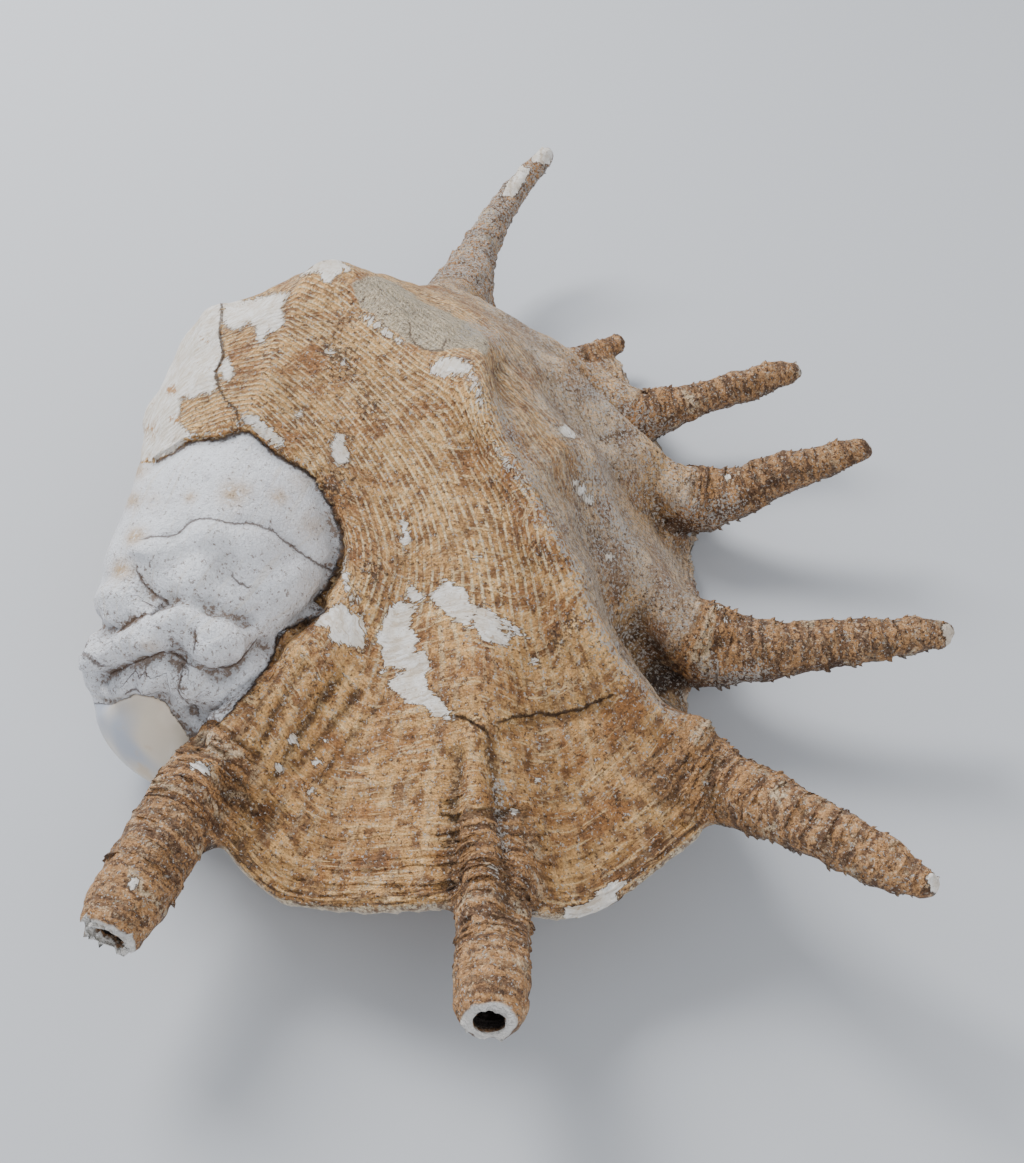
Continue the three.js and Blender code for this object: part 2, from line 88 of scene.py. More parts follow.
# Sixteen cords run with the growth of the shell, from the last suture (0) to the canal (15).
# Each has its place and radius on top of the coil, then points over the crest to the lip's edge.
CORDS = [
    (-27, 35, [(-42, -31, 72), (-29, -37, 58), (-32, -56, 47), (-37, -76, 40), (-45, -96, 30)]),
    (-18, 38, [(-38, -26, 76), (-21, -42, 63), (-23, -64, 53), (-28, -84, 47), (-31, -102, 38)]),
    (-8, 42, [(-36, -17, 81), (-11, -35, 69), (-5, -60, 53), (-3, -85, 38), (-4, -107, 27)]),
    (2, 45, [(-34, -8, 86), (-4, -27, 77), (13, -50, 64), (26, -75, 49), (38, -97, 37)]),
    (11, 48, [(-33, 1, 91), (5, -22, 84), (29, -46, 62), (44, -64, 42), (58, -80, 27)]),
    (21, 49.5, [(-32, 11, 93), (14, -22, 87), (44, -39, 62), (59, -42, 46), (75, -46, 35)]),
    (32, 48, [(-30, 24, 88), (10, 2, 74), (30, -8, 47), (42, -8, 20), (53, -3, 1.5)]),
    (42, 43.5, [(-29, 36, 80), (4, 22, 65), (25, 12, 45), (40, 8, 33), (51, 7, 24)]),
    (54, 36.5, [(-32, 52, 71), (-8, 46, 56), (10, 46, 37), (23, 51, 17), (33, 57, 1.5)]),
    (66, 29.8, [(-38, 66, 61), (-14, 66, 50), (6, 64, 37), (20, 64, 28), (32, 64, 22)]),
    (76, 25, [(-43, 79, 53.5), (-22, 81, 41.5), (-7, 84, 28), (3, 88, 15), (11, 92, 6)]),
    (86, 21.5, [(-47, 89, 48.5), (-30, 92, 38), (-17, 94, 30), (-6, 96, 25), (5, 97, 20)]),
    (95, 18.5, [(-50, 96, 42), (-39, 101, 29), (-29, 105, 21), (-19, 111, 16), (-9, 117, 11)]),
    (102, 16.2, [(-55, 101, 36), (-47, 106, 24), (-39, 113, 17), (-32, 122, 14), (-25, 132, 12)]),
    (109, 14.5, [(-59, 106, 31), (-55, 109, 21), (-51, 115, 15), (-47, 121, 10), (-43, 128, 6)]),
    (116, 14, [(-62, 112, 34), (-58, 110, 27), (-57, 112, 22), (-58, 115, 18), (-60, 118, 15)]),
]
COIL_SHRINK = 0.12
COIL_SHRINK_ANGLE = 25
COIL_START_ANGLE = -190
PITCH_AT_SUTURE = 0.2
# Knobs: place, height, reach
KNOBS = [
    ((-58, 21, 93), 3, 11),
    ((-84, 18, 86), -4, 12),
    ((-99, 16, 70), 5, 7.5),
    ((-9, -4, 91), 6, 12),
    ((-108, -2, 45), 6.5, 12),
    ((16, -24, 86), 3, 10),
]
KNOB_CORE = np.array([-50.0, 0.0, 45.0])

# Folds of the lip: a ridge up from each digit, a trough between two of them: line, height, reach
FOLD_WAY = np.array([0.3, 0, 0.95])
FOLDS = [
    ([(-24, -46, 63), (-28, -72, 51), (-31, -98, 40)], 2.5, 9),
    ([(-8, -58, 56), (-4, -82, 41), (-4, -104, 29)], -2.5, 12),
    ([(17, -56, 61), (27, -75, 49), (38, -96, 38)], 3, 8),
    ([(28, -46, 63), (42, -62, 44), (56, -78, 29)], -2, 10),
    ([(22, -26, 82), (44, -39, 62), (70, -45, 42)], 2.5, 8),
    ([(22, -2, 60), (34, -8, 42), (44, -8, 20)], -3, 9),
    ([(10, 19, 60), (28, 11, 43), (52, 6, 29)], 5, 9),
    ([(-4, 46, 52), (10, 47, 37), (26, 53, 14)], -3, 9),
    ([(-12, 66, 49), (8, 64, 36), (30, 64, 26)], 3.5, 8),
    ([(-20, 81, 40), (-6, 85, 27), (4, 89, 13)], -2, 7),
    ([(-28, 92, 37), (-15, 94, 29), (0, 95, 23)], 2.5, 7),
]

# Spire: place of each ring along the axis, its radius, slant and swell toward the lip
SPIRE_Y = [-82.5, -77, -69.5, -66.5, -63.5, -59, -55.5, -52.5, -50.5, -47, -40, -30, -20]
SPIRE_RADIUS = [7, 16.2, 18.6, 18.6, 19.2, 20.8, 21.9, 22.4, 24.2, 26.6, 28.8, 32, 32.5]
SPIRE_SLANT = [2, 4, 7, 8, 10, 12, 13, 14, 14, 14, 14, 14, 12]
SPIRE_SWELL = [0, 2, 5, 5.6, 6, 6.6, 6.6, 6.4, 6, 5.2, 4.6, 3, 2]
SPIRE_SLANT_ANGLE = 35
SWELL_ANGLE = 74

# Digits and canal along their middles: x, y, z, radius
TUBES = {
    "canal": [
        (-68, 90, 36, 11), (-71, 110, 30, 11.6), (-76, 128, 29, 8.6), (-80, 147, 30, 6),
        (-81, 167, 34, 4.8), (-78, 179, 40, 4.2), (-73, 187, 47, 2.6),
    ],
    "stub": [(-38, 113, 16, 3), (-30, 124, 12.5, 4.6), (-23.5, 135, 13.5, 3.2)],
    "digit_1": [
        (-12, 91, 27, 4), (-1, 93, 20, 8), (9, 100, 21, 6.2), (20, 109, 24, 5), (31, 117, 27, 4.8),
        (39, 122, 30, 3),
    ],
    "digit_2": [
        (18, 60, 26, 5), (28, 63, 20, 10), (39, 66.5, 22.5, 7.6), (50, 72, 29.5, 6.1), (61, 78, 34, 5),
        (70, 83, 38, 3.2),
    ],
    "digit_3": [
        (36, 3, 32, 6), (48, 4, 24.5, 11.4), (60, 6, 25, 9), (72, 9.5, 27.6, 7), (84, 14, 30.5, 5.8),
        (97, 20, 33, 5), (108, 25, 34, 3),
    ],
    "digit_4": [
        (48, -41, 46, 5), (60, -43.5, 38, 10.6), (72, -45.5, 36, 9), (85, -49, 39.5, 7.2),
        (96, -52, 41.5, 6.4), (109, -55, 42.5, 5.6), (121, -57, 42, 3.2),
    ],
    "digit_5": [
        (21, -66, 50, 3), (34, -84, 38, 8.6), (43, -101, 37, 7.6), (48, -112, 38, 7.8),
        (52, -122, 40, 7.6),
    ],
    "digit_6": [
        (-27, -68, 47, 3), (-31, -89, 37, 9.6), (-31, -108, 36, 8.6), (-30, -122, 36, 8.4),
        (-28, -136, 36, 7.4),
    ],
}
BROKEN_DIGITS = ("digit_5", "digit_6")
BREAK_DEPTH = {"digit_5": 1.0, "digit_6": 4.5}
BREAK_WAVELENGTH = 7
BORE_WALL_DEPTH = 13
BORE_RADIUS = 4.2
END_NARROWING = {"digit_5": 0.24, "digit_6": 0.08}


# Small helpers

def smoothstep(low, high, value):
    share = np.clip((value - low) / (high - low), 0, 1)
    return share * share * (3 - 2 * share)


def spline(points, at):
    """Catmull-Rom through an array of points, at real-valued indices."""
    points = np.asarray(points, float)
    at = np.asarray(at, float)
    last = len(points) - 1
    i = np.clip(np.floor(at).astype(int), 0, last - 1)
    f = (at - i).reshape(-1, *[1] * (points.ndim - 1))
    b = points[i]
    c = points[i + 1]
    first = (i > 0).reshape(f.shape)
    final = (i + 1 < last).reshape(f.shape)
    a = np.where(first, points[np.maximum(i - 1, 0)], 2 * b - c)
    d = np.where(final, points[np.minimum(i + 2, last)], 2 * c - b)
    return b + 0.5 * f * (c - a + f * (2 * a - 5 * b + 4 * c - d + f * (3 * (b - c) + d - a)))


FAR = 1e9


def unit(vectors):
    length = np.linalg.norm(vectors, axis=-1, keepdims=True)
    return vectors / np.maximum(length, 1e-12)


def srgb(red, green, blue):
    """A colour given as on a screen, 0 to 255, as the linear values that the nodes take."""
    linear = []
    for part in (red, green, blue):
        part /= 255
        linear.append(part / 12.92 if part <= 0.04045 else ((part + 0.055) / 1.055) ** 2.4)
    return (*linear, 1.0)


def noise_at(points, wavelength, octaves=3, seed=0):
    """Fractal noise, about -1 to 1, at points in mm."""
    shift = Vector((seed * 17.3, seed * 5.1, seed * 9.7))
    places = points / wavelength
    return np.array([noise.fractal(Vector(p) + shift, 1.0, 2.0, octaves) for p in places])


def line_distance(points, line):
    """Distance of points from a line of straight pieces, in two or three dimensions."""
    line = np.array(line, float)
    best = np.full(points.shape[:-1], FAR)
    for a, b in zip(line[:-1], line[1:]):
        span = b - a
        along = np.clip(((points - a) @ span) / (span @ span), 0, 1)
        best = np.minimum(best, np.linalg.norm(points - a - along[..., None] * span, axis=-1))
    return best


def bell(gap, reach):
    return np.exp(-((gap / reach) ** 2))


# The outer surface as a grid: growth line by cord

CORDS_PER_STEP = 14
COIL_STEPS = 48
COIL_LEAD_ANGLE = -12.0
STEPS_PER_SPAN = 12


def coil_line(y, radius, index, degrees):
    pitch = PITCH_AT_SUTURE * (1 - index / (len(CORDS) - 1))
    shrink = 1 - COIL_SHRINK * (1 - np.exp(degrees / COIL_SHRINK_ANGLE))
    angle = np.radians(degrees)
    x = np.interp(y, AXIS_Y, AXIS_X) + radius * shrink * np.sin(angle)
    z = np.interp(y, AXIS_Z_Y, AXIS_Z) + radius * shrink * np.cos(angle)
    return np.stack([x, y + pitch * degrees, z], axis=1)


def cord_line(index):
    y, radius, over = CORDS[index]
    coil = coil_line(y, radius, index, np.linspace(COIL_START_ANGLE, 0, COIL_STEPS + 1))
    before = coil_line(y, radius, index, np.array([COIL_LEAD_ANGLE]))
    outer = np.concatenate([before, coil[-1:], np.array(over, float)])
    spans = len(over)
    over_line = spline(outer, np.linspace(1, 1 + spans, spans * STEPS_PER_SPAN + 1))
    return np.concatenate([coil[:-1], over_line])


def outer_grid():
    lines = np.stack([cord_line(i) for i in range(len(CORDS))])
    last = len(CORDS) - 1
    grid = spline(lines, np.linspace(0, last, last * CORDS_PER_STEP + 1))
    moved = grid.copy()
    for line, height, reach in FOLDS:
        near = bell(line_distance(grid, line), reach)
        moved += height * near[..., None] * FOLD_WAY
    for place, height, reach in KNOBS:
        away = unit(np.array(place, float) - KNOB_CORE)
        near = np.exp(-((grid - place) ** 2).sum(-1) / reach**2)
        moved += height * near[..., None] * away
    return moved + DRAWING_TO_ROW


def edge_distance(grid):
    """Mm from each point of the grid to the lip's edge, along its growth line."""
    steps = np.linalg.norm(np.diff(grid, axis=1), axis=2)
    to_edge = np.zeros(grid.shape[:2])
    to_edge[:, :-1] = steps[:, ::-1].cumsum(axis=1)[:, ::-1]
    return to_edge


def nearest(tree, points):
    found = [tree.find(p) for p in points]
    return np.array([f[1] for f in found]), np.array([f[2] for f in found])


def tree_of(points):
    tree = KDTree(len(points))
    for i, p in enumerate(points):
        tree.insert(p, i)
    tree.balance()
    return tree


# The mesh under the finish

def working_mesh():
    """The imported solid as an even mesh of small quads."""
    mesh = shell_solid.data.copy()
    piece = bpy.data.objects.new("shell_skin", mesh)
    bpy.context.scene.collection.objects.link(piece)
    mesh.materials.clear()
    weld = piece.modifiers.new("weld", "WELD")
    weld.merge_threshold = 0.01 * MM
    remesh = piece.modifiers.new("remesh", "REMESH")
    remesh.mode = "VOXEL"
    remesh.voxel_size = VOXEL * MM
    remesh.use_smooth_shade = True
    graph = bpy.context.evaluated_depsgraph_get()
    fine = bpy.data.meshes.new_from_object(piece.evaluated_get(graph))
    piece.modifiers.clear()
    piece.data = fine
    return piece


class Surface:
    """A mesh's vertices in mm, with averaging over neighbours."""

    def __init__(self, mesh):
        self.mesh = mesh
        self.count = len(mesh.vertices)
        places = np.empty(self.count * 3)
        mesh.vertices.foreach_get("co", places)
        self.points = places.reshape(-1, 3) / MM
        ends = np.empty(len(mesh.edges) * 2, int)
        mesh.edges.foreach_get("vertices", ends)
        self.ends = ends.reshape(-1, 2)
        self.degree = np.maximum(np.bincount(ends, minlength=self.count), 1)

    def average(self, values):
        """Mean over each vertex's neighbours."""
        if values.ndim == 1:
            a, b = self.ends.T
            total = np.bincount(a, values[b], self.count) + np.bincount(b, values[a], self.count)
            return total / self.degree
        return np.stack([self.average(column) for column in values.T], axis=1)

    def soften(self, values, passes):
        for _ in range(passes):
            values = 0.5 * values + 0.5 * self.average(values)
        return values

    def smooth(self, passes):
        """Takes the facets out and keeps the volume."""
        for _ in range(passes):
            for step in (SMOOTH_IN, SMOOTH_OUT):
                self.points = self.points + step * (self.average(self.points) - self.points)

    def fill(self, weight, passes):
        """Rounds out hollow corners and leaves raised ones alone."""
        normals = self.normals()
        for _ in range(passes):
            change = self.average(self.points) - self.points
            outward = np.maximum((change * normals).sum(1), 0) * weight
            self.points = self.points + FILL_STEP * outward[:, None] * normals

    def tree(self):
        corners = [tuple(polygon.vertices) for polygon in self.mesh.polygons]
        return BVHTree.FromPolygons(self.points.tolist(), corners)

    def normals(self):
        self.write()
        flat = np.empty(self.count * 3)
        self.mesh.vertex_normals.foreach_get("vector", flat)
        return flat.reshape(-1, 3)

    def write(self):
        self.mesh.vertices.foreach_set("co", (self.points * MM).ravel())
        self.mesh.update()


# Where each vertex lies on the shell

def growth_fields(surface, normals):
    """Cord number, mm back from the lip's edge, and how each vertex lies to the outer surface."""
    grid = outer_grid()
    columns = grid.shape[1]
    across = np.gradient(grid, axis=0)
    onward = np.gradient(grid, axis=1)
    facing = unit(np.cross(onward, across))
    to_edge = edge_distance(grid)
    flat = grid.reshape(-1, 3)
    at, distance = nearest(tree_of(flat), surface.points)
    row, column = np.divmod(at, columns)
    offset = surface.points - flat[at]
    a = across.reshape(-1, 3)[at]
    b = onward.reshape(-1, 3)[at]
    aa = (a * a).sum(1)
    bb = (b * b).sum(1)
    ab = (a * b).sum(1)
    oa = (offset * a).sum(1)
    ob = (offset * b).sum(1)
    size = np.maximum(aa * bb - ab * ab, 1e-9)
    row_shift = np.clip((oa * bb - ob * ab) / size, -1, 1)
    column_shift = np.clip((ob * aa - oa * ab) / size, -1, 1)
    cord = (row + row_shift) / CORDS_PER_STEP
    grow = to_edge[row, column] - column_shift * np.sqrt(bb)
    outward = facing.reshape(-1, 3)[at]
    side = (outward * normals).sum(1)
    above = (outward * offset).sum(1)
    return {"cord": cord, "grow": grow, "off": distance, "side": side, "above": above}


FAR_FROM_TIP = 100.0
TUBE_SAMPLES = 60
TUBE_ROOT_SAMPLES = 40


def tube_fields(surface):
    """Nearest digit: share of its radius away from the middle, mm to its tip, how low on it, its number."""
    points = surface.points
    best = np.full(len(points), FAR)
    to_tip = np.full(len(points), FAR_FROM_TIP)
    low = np.zeros(len(points))
    which = np.full(len(points), -1)
    for number, line in enumerate(TUBES.values()):
        line = np.array(line, float)
        dense = spline(line, np.linspace(0, len(line) - 1, TUBE_SAMPLES * (len(line) - 1) + 1))
        middle = dense[:, :3] + DRAWING_TO_ROW
        steps = np.linalg.norm(np.diff(middle, axis=0), axis=1)
        left = np.concatenate([steps[::-1].cumsum()[::-1], [0]])
        at, distance = nearest(tree_of(middle), points)
        ratio = distance / dense[at, 3]
        ahead = unit(np.gradient(middle, axis=0))[at]
        offset = points - middle[at]
        closer = (ratio < best) & (at > TUBE_ROOT_SAMPLES)
        best = np.where(closer, ratio, best)
        past_tip = (offset * ahead).sum(1)
        to_tip = np.where(closer, left[at] - np.maximum(past_tip, 0), to_tip)
        low = np.where(closer, -offset[:, 2] / dense[at, 3], low)
        which = np.where(closer, number, which)
    return {"ratio": best, "to_tip": to_tip, "low": low, "which": which}


# Marks and low relief are placed by where the photograph shows them, in its pixels.

MAIN_SUTURE_PX = [
    (152, 460), (170, 450), (185, 441), (197, 438), (215, 438), (227, 435), (240, 430), (250, 431),
    (260, 440), (275, 452), (290, 461), (305, 469), (315, 479), (322, 492), (330, 505), (335, 520),
    (339, 535), (339, 555), (335, 568), (330, 578), (325, 588), (315, 600),
]
LIP_SUTURE_PX = [
    (322, 608), (295, 626), (278, 634), (276, 652), (265, 672), (250, 692), (235, 710), (220, 725),
    (205, 737), (192, 748),
]
SECOND_SUTURE_PX = [
    (147, 540), (160, 537), (175, 535), (185, 527), (192, 521), (205, 519), (220, 521), (235, 523),
    (250, 522), (265, 527), (275, 531), (287, 542), (300, 552), (312, 561), (325, 567), (332, 571),
]
SHOULDER_CRACK_PX = [
    (223, 300), (223, 320), (220, 337), (224, 357), (216, 372), (219, 385), (226, 400), (237, 410),
    (241, 425),
]
GROWTH_CRACK_PX = [(454, 717), (465, 717), (475, 725), (485, 730), (489, 735)]
LONG_CRACK_PX = [
    (500, 722), (515, 716), (530, 715), (542, 712), (555, 716), (565, 711), (580, 710), (590, 704),
    (602, 699), (614, 695),
]
FACET_CRACK_PX = [(411, 322), (410, 335), (417, 344), (430, 350), (442, 351), (446, 340)]

SPIRE_PX = [
    *MAIN_SUTURE_PX, *LIP_SUTURE_PX, (178, 724), (163, 706), (134, 696), (104, 705), (84, 702), (60, 680),
    (60, 640), (75, 590), (95, 560), (105, 500), (118, 470),
]
CALLUS_PX = [
    (84, 702), (104, 705), (134, 696), (163, 706), (178, 724), (196, 752), (170, 800), (110, 780), (60, 730),
]

WORN_PX = {
    "left_shoulder": [
        (223, 296), (207, 296), (180, 320), (150, 370), (126, 430), (128, 470),
        *MAIN_SUTURE_PX[:7], *SHOULDER_CRACK_PX[:0:-1],
    ],
    "right_of_crack": [
        (224, 300), (245, 300), (265, 296), (280, 293), (290, 293), (282, 307), (284, 325), (277, 330),
        (267, 332), (262, 342), (256, 340), (255, 325), (247, 322), (240, 330), (225, 327),
    ],
    "crack_spot": [(222, 360), (228, 357), (233, 368), (233, 380), (226, 382), (221, 372)],
    "below_crack": [
        (246, 412), (255, 414), (267, 424), (275, 434), (285, 444), (280, 449), (267, 441), (255, 431),
        (245, 423),
    ],
    "back_knob": [
        (300, 277), (320, 265), (337, 262), (350, 270), (340, 274), (332, 282), (330, 289), (324, 282),
        (320, 275), (307, 277),
    ],
    "back_streak": [
        (360, 312), (372, 318), (385, 327), (405, 342), (400, 345), (385, 336), (370, 326), (362, 318),
    ],
    "crest_knob": [
        (431, 367), (437, 359), (447, 360), (460, 367), (467, 375), (475, 390), (484, 410), (482, 415),
        (475, 400), (467, 386), (457, 380), (445, 379), (432, 375),
    ],
    "ragged": [
        (337, 432), (345, 435), (345, 448), (352, 460), (347, 464), (338, 466), (332, 458), (331, 448),
    ],
    "crest_streak": [(494, 445), (507, 458), (520, 476), (527, 495), (518, 480), (505, 463)],
    "sliver": [
        (354, 542), (347, 550), (341, 562), (337, 570), (344, 580), (347, 592), (354, 602), (361, 602),
        (357, 595), (352, 585), (349, 575), (345, 570), (344, 557), (350, 547),
    ],
    "left_flake": [
        (315, 615), (325, 607), (337, 606), (347, 605), (350, 612), (360, 615), (365, 630), (366, 642),
        (362, 650), (350, 646), (332, 642), (327, 635), (330, 627), (317, 625),
    ],
    "centre_flake": [
        (390, 605), (400, 601), (410, 607), (412, 615), (407, 625), (415, 630), (417, 640), (415, 655),
        (425, 650), (429, 662), (426, 680), (430, 690), (440, 700), (455, 715), (450, 719), (435, 715),
        (426, 710), (415, 702), (410, 705), (397, 692), (386, 685), (395, 675), (410, 672), (400, 670),
        (387, 665), (382, 680), (380, 675), (384, 660), (382, 645), (375, 646), (374, 642), (380, 632),
        (385, 617),
    ],
    "middle_flake": [
        (412, 581), (415, 590), (425, 595), (427, 600), (419, 599), (416, 606), (410, 602), (406, 595),
    ],
    "right_flake": [
        (429, 595), (440, 587), (446, 577), (452, 582), (462, 585), (467, 592), (467, 602), (477, 607),
        (471, 612), (469, 622), (468, 634), (460, 622), (450, 617), (440, 607), (432, 602),
    ],
    "far_flake": [
        (472, 613), (480, 608), (490, 611), (497, 620), (502, 630), (510, 635), (507, 645), (500, 642),
        (490, 640), (486, 647), (480, 637), (476, 625),
    ],
    "flake_tail": [
        (482, 604), (490, 606), (500, 617), (510, 622), (522, 632), (532, 641), (520, 637), (507, 629),
        (497, 617),
    ],
    "dust_smear": [(400, 521), (408, 519), (409, 545), (403, 549)],
    "lip_chip": [
        (562, 922), (567, 906), (587, 904), (594, 892), (614, 880), (628, 882), (614, 898), (606, 914),
        (590, 924),
    ],
    "canal_band": [(507, 185), (520, 166), (532, 168), (527, 178), (515, 196), (500, 197)],
    "canal_tip": [(531, 160), (536, 147), (556, 138), (566, 148), (556, 168)],
    "digit_3_tip": [(943, 627), (953, 623), (964, 640), (950, 648)],
    "digit_4_tip": [(924, 879), (936, 872), (944, 888), (932, 898)],
}
BROWN_PATCH_PX = [
    (183, 397), (192, 400), (205, 393), (212, 396), (218, 388), (226, 402), (238, 415), (240, 426),
    (225, 433), (205, 436), (190, 433), (180, 424),
]
# Small white spots: x, y, radius
SPOTS_PX = [
    (297, 412, 4), (477, 557, 3), (535, 660, 4), (607, 557, 4), (565, 432, 6), (570, 437, 4), (317, 763, 4),
    (280, 767, 4), (325, 740, 3), (293, 740, 5), (538, 780, 3), (582, 490, 5), (590, 500, 5), (575, 483, 3),
    (205, 770, 6), (196, 768, 5), (716, 612, 3), (725, 622, 4), (245, 812, 3), (700, 455, 4), (728, 477, 3),
    (516, 812, 4), (494, 876, 5), (133, 884, 5), (330, 352, 4), (345, 362, 3), (318, 676, 3), (312, 792, 3),
]
FACET_PX = [
    (352, 283), (380, 275), (397, 280), (417, 293), (445, 308), (467, 323), (482, 340), (486, 356),
    (478, 362), (465, 350), (445, 352), (425, 349), (410, 342), (395, 332), (375, 317), (355, 302),
]
# Dark brown clusters: x, y, radius, strength
BROWN_PX = [
    (337, 357, 20, 0.8), (370, 406, 12, 0.9), (330, 490, 20, 0.7), (372, 572, 14, 0.9), (557, 640, 11, 0.9),
    (572, 622, 10, 0.9), (480, 725, 10, 0.7), (540, 550, 10, 0.7), (300, 620, 9, 0.6), (432, 740, 9, 0.5),
    (600, 760, 8, 0.5), (250, 690, 10, 0.5), (480, 400, 8, 0.5), (350, 320, 10, 0.5), (284, 655, 8, 0.5),
    (505, 500, 12, 0.5), (620, 800, 9, 0.5), (320, 700, 7, 0.4),
]
# Yellow-brown stains on the spire: x, y, radius, strength
STAINS_PX = [
    (232, 494, 13, 0.8), (243, 490, 9, 0.6), (279, 497, 9, 0.7), (190, 497, 6, 0.8), (312, 525, 14, 0.4),
    (122, 570, 10, 0.9), (138, 538, 10, 0.9), (152, 500, 9, 0.3), (152, 646, 8, 0.5), (300, 480, 12, 0.3),
    (150, 430, 12, 0.5), (137, 470, 10, 0.8), (132, 500, 9, 0.8), (171, 390, 7, 0.9), (147, 399, 8, 0.6),
    (132, 440, 8, 0.9), (176, 420, 8, 0.6), (205, 340, 7, 0.5), (195, 365, 6, 0.5),
]
# Dark dirt: lines with their reach
DIRT_LINES_PX = [
    ([(105, 629), (125, 618), (140, 611)], 3.5),
    ([(104, 679), (120, 674), (134, 670), (159, 661)], 3),
    ([(176, 668), (184, 688), (194, 700)], 6),
    ([(130, 672), (145, 674)], 4),
    ([(215, 668), (228, 668), (240, 660), (250, 645)], 4),
    ([(213, 535), (214, 548)], 4),
    ([(236, 576), (241, 588)], 4),
    ([(140, 580), (150, 592), (160, 590)], 5),
    ([(196, 632), (197, 650)], 2.5),
    ([(176, 725), (200, 735), (216, 722), (236, 700)], 6),
    ([(325, 520), (333, 530)], 4),
    ([(192, 478), (197, 480)], 2.5),
]
RIB_LEFT_PX = [(446, 890), (445, 840), (452, 790), (458, 757)]
RIB_RIGHT_PX = [(514, 905), (508, 850), (498, 790), (490, 750)]
FAN_1_PX = [(238, 742), (262, 700), (284, 668)]
FAN_2_PX = [(255, 760), (280, 705), (302, 666)]
FAN_3_PX = [(275, 778), (305, 725), (337, 678)]
FAN_4_PX = [(296, 768), (325, 735), (355, 695)]
FAN_5_PX = [(318, 782), (350, 735), (383, 700)]
CREST_FOOT_PX = [(640, 640), (668, 672), (688, 700)]
# Painted shade along the lip's grooves and under the digits: lines with their reach
SHADED_GROOVES_PX = [
    (RIB_LEFT_PX, 5), (RIB_RIGHT_PX, 5),
    (FAN_1_PX, 4), (FAN_2_PX, 4), (FAN_3_PX, 4), (FAN_4_PX, 3.5), (FAN_5_PX, 3),
    ([(228, 798), (245, 806), (262, 815)], 10),
    (CREST_FOOT_PX, 5),
    ([(695, 690), (735, 684), (790, 672), (850, 664)], 8),
    ([(650, 512), (690, 530), (740, 505), (780, 478)], 7),
    ([(600, 440), (640, 430), (690, 410)], 6),
    ([(322, 608), (295, 626), (278, 634)], 7),
    ([(335, 568), (325, 588), (315, 600)], 7),
]
# Pale crust: lines with their reach
CRUST_LINES_PX = [
    ([(500, 400), (520, 450), (545, 500), (560, 540)], 14),
    ([(565, 540), (580, 565), (595, 607), (610, 640), (627, 665), (650, 692), (672, 712)], 14),
    ([(590, 470), (610, 510), (628, 540)], 22),
    ([(680, 505), (710, 520), (730, 505)], 16),
    ([(500, 780), (508, 850)], 8),
    ([(705, 670), (730, 680), (760, 672)], 15),
    ([(470, 330), (500, 340)], 12),
    ([(490, 290), (495, 305)], 12),
    ([(590, 390), (640, 420), (680, 440)], 18),
]

# Low relief: line, height in mm, reach in mm
RELIEF_LINES_PX = [
    ([(483, 354), (487, 415), (503, 446), (524, 488), (539, 527), (564, 569), (589, 619), (620, 665),
      (651, 696), (689, 727)], 1.8, 4.5),
    ([(498, 372), (512, 432), (533, 474), (554, 515), (578, 558), (604, 610), (636, 657), (666, 692)],
     -2.6, 4.5),
    ([(603, 562), (643, 580), (681, 600), (712, 612)], 1.6, 5),
    ([(560, 452), (593, 458), (635, 466)], 1.4, 5),
    (CREST_FOOT_PX, -1.5, 6),
    ([(232, 800), (245, 808), (262, 815)], -3, 5),
    ([(155, 840), (185, 793), (227, 739), (260, 693), (285, 650)], 1.4, 6),
    ([(482, 905), (480, 852), (477, 793), (474, 742)], 2.4, 3.8),
    (RIB_LEFT_PX, -2.2, 3), (RIB_RIGHT_PX, -2.2, 3),
    (FAN_1_PX, -1.2, 2), (FAN_2_PX, -1.5, 2), (FAN_3_PX, -1.7, 2), (FAN_4_PX, -1.3, 2),
    (FAN_5_PX, -0.8, 2.2),
    ([(454, 722), (475, 728), (488, 733), (530, 720), (565, 715), (602, 703)], -1.0, 3),
    ([(105, 629), (125, 618), (140, 611), (158, 604), (174, 600), (200, 603), (227, 612), (243, 622)],
     -1.8, 2.4),
    ([(104, 679), (120, 674), (134, 670), (159, 661), (188, 667), (215, 674), (238, 663), (262, 645)],
     -2.2, 2.4),
    ([(104, 704), (134, 697), (163, 705), (177, 722), (195, 738)], -1.6, 2.2),
    ([(137, 570), (150, 590), (170, 598)], -1.4, 2.2),
    ([(172, 640), (180, 652), (176, 668)], -1.4, 2),
    (SECOND_SUTURE_PX, -0.7, 1.6),
    (MAIN_SUTURE_PX, -0.9, 1.8),
    (LIP_SUTURE_PX, -1.2, 2.2),
]
# Bumps: x, y, radius, height in mm
BUMPS_PX = [
    (206, 538, 22, 1.8), (150, 556, 20, 2.8), (256, 553, 24, 1.3), (298, 580, 26, 1.6), (227, 646, 24, 3.2),
    (177, 621, 20, 2), (117, 600, 16, 2.4), (97, 660, 15, 2.6), (150, 646, 14, 1.4), (188, 680, 15, 2),
    (146, 682, 14, 2), (212, 690, 13, 1.8), (118, 690, 12, 1.8), (465, 382, 22, 2.2), (330, 278, 26, 1.6),
    (208, 308, 20, 1.8), (420, 312, 30, -1.2), (185, 590, 22, 1), (262, 610, 22, 1),
]

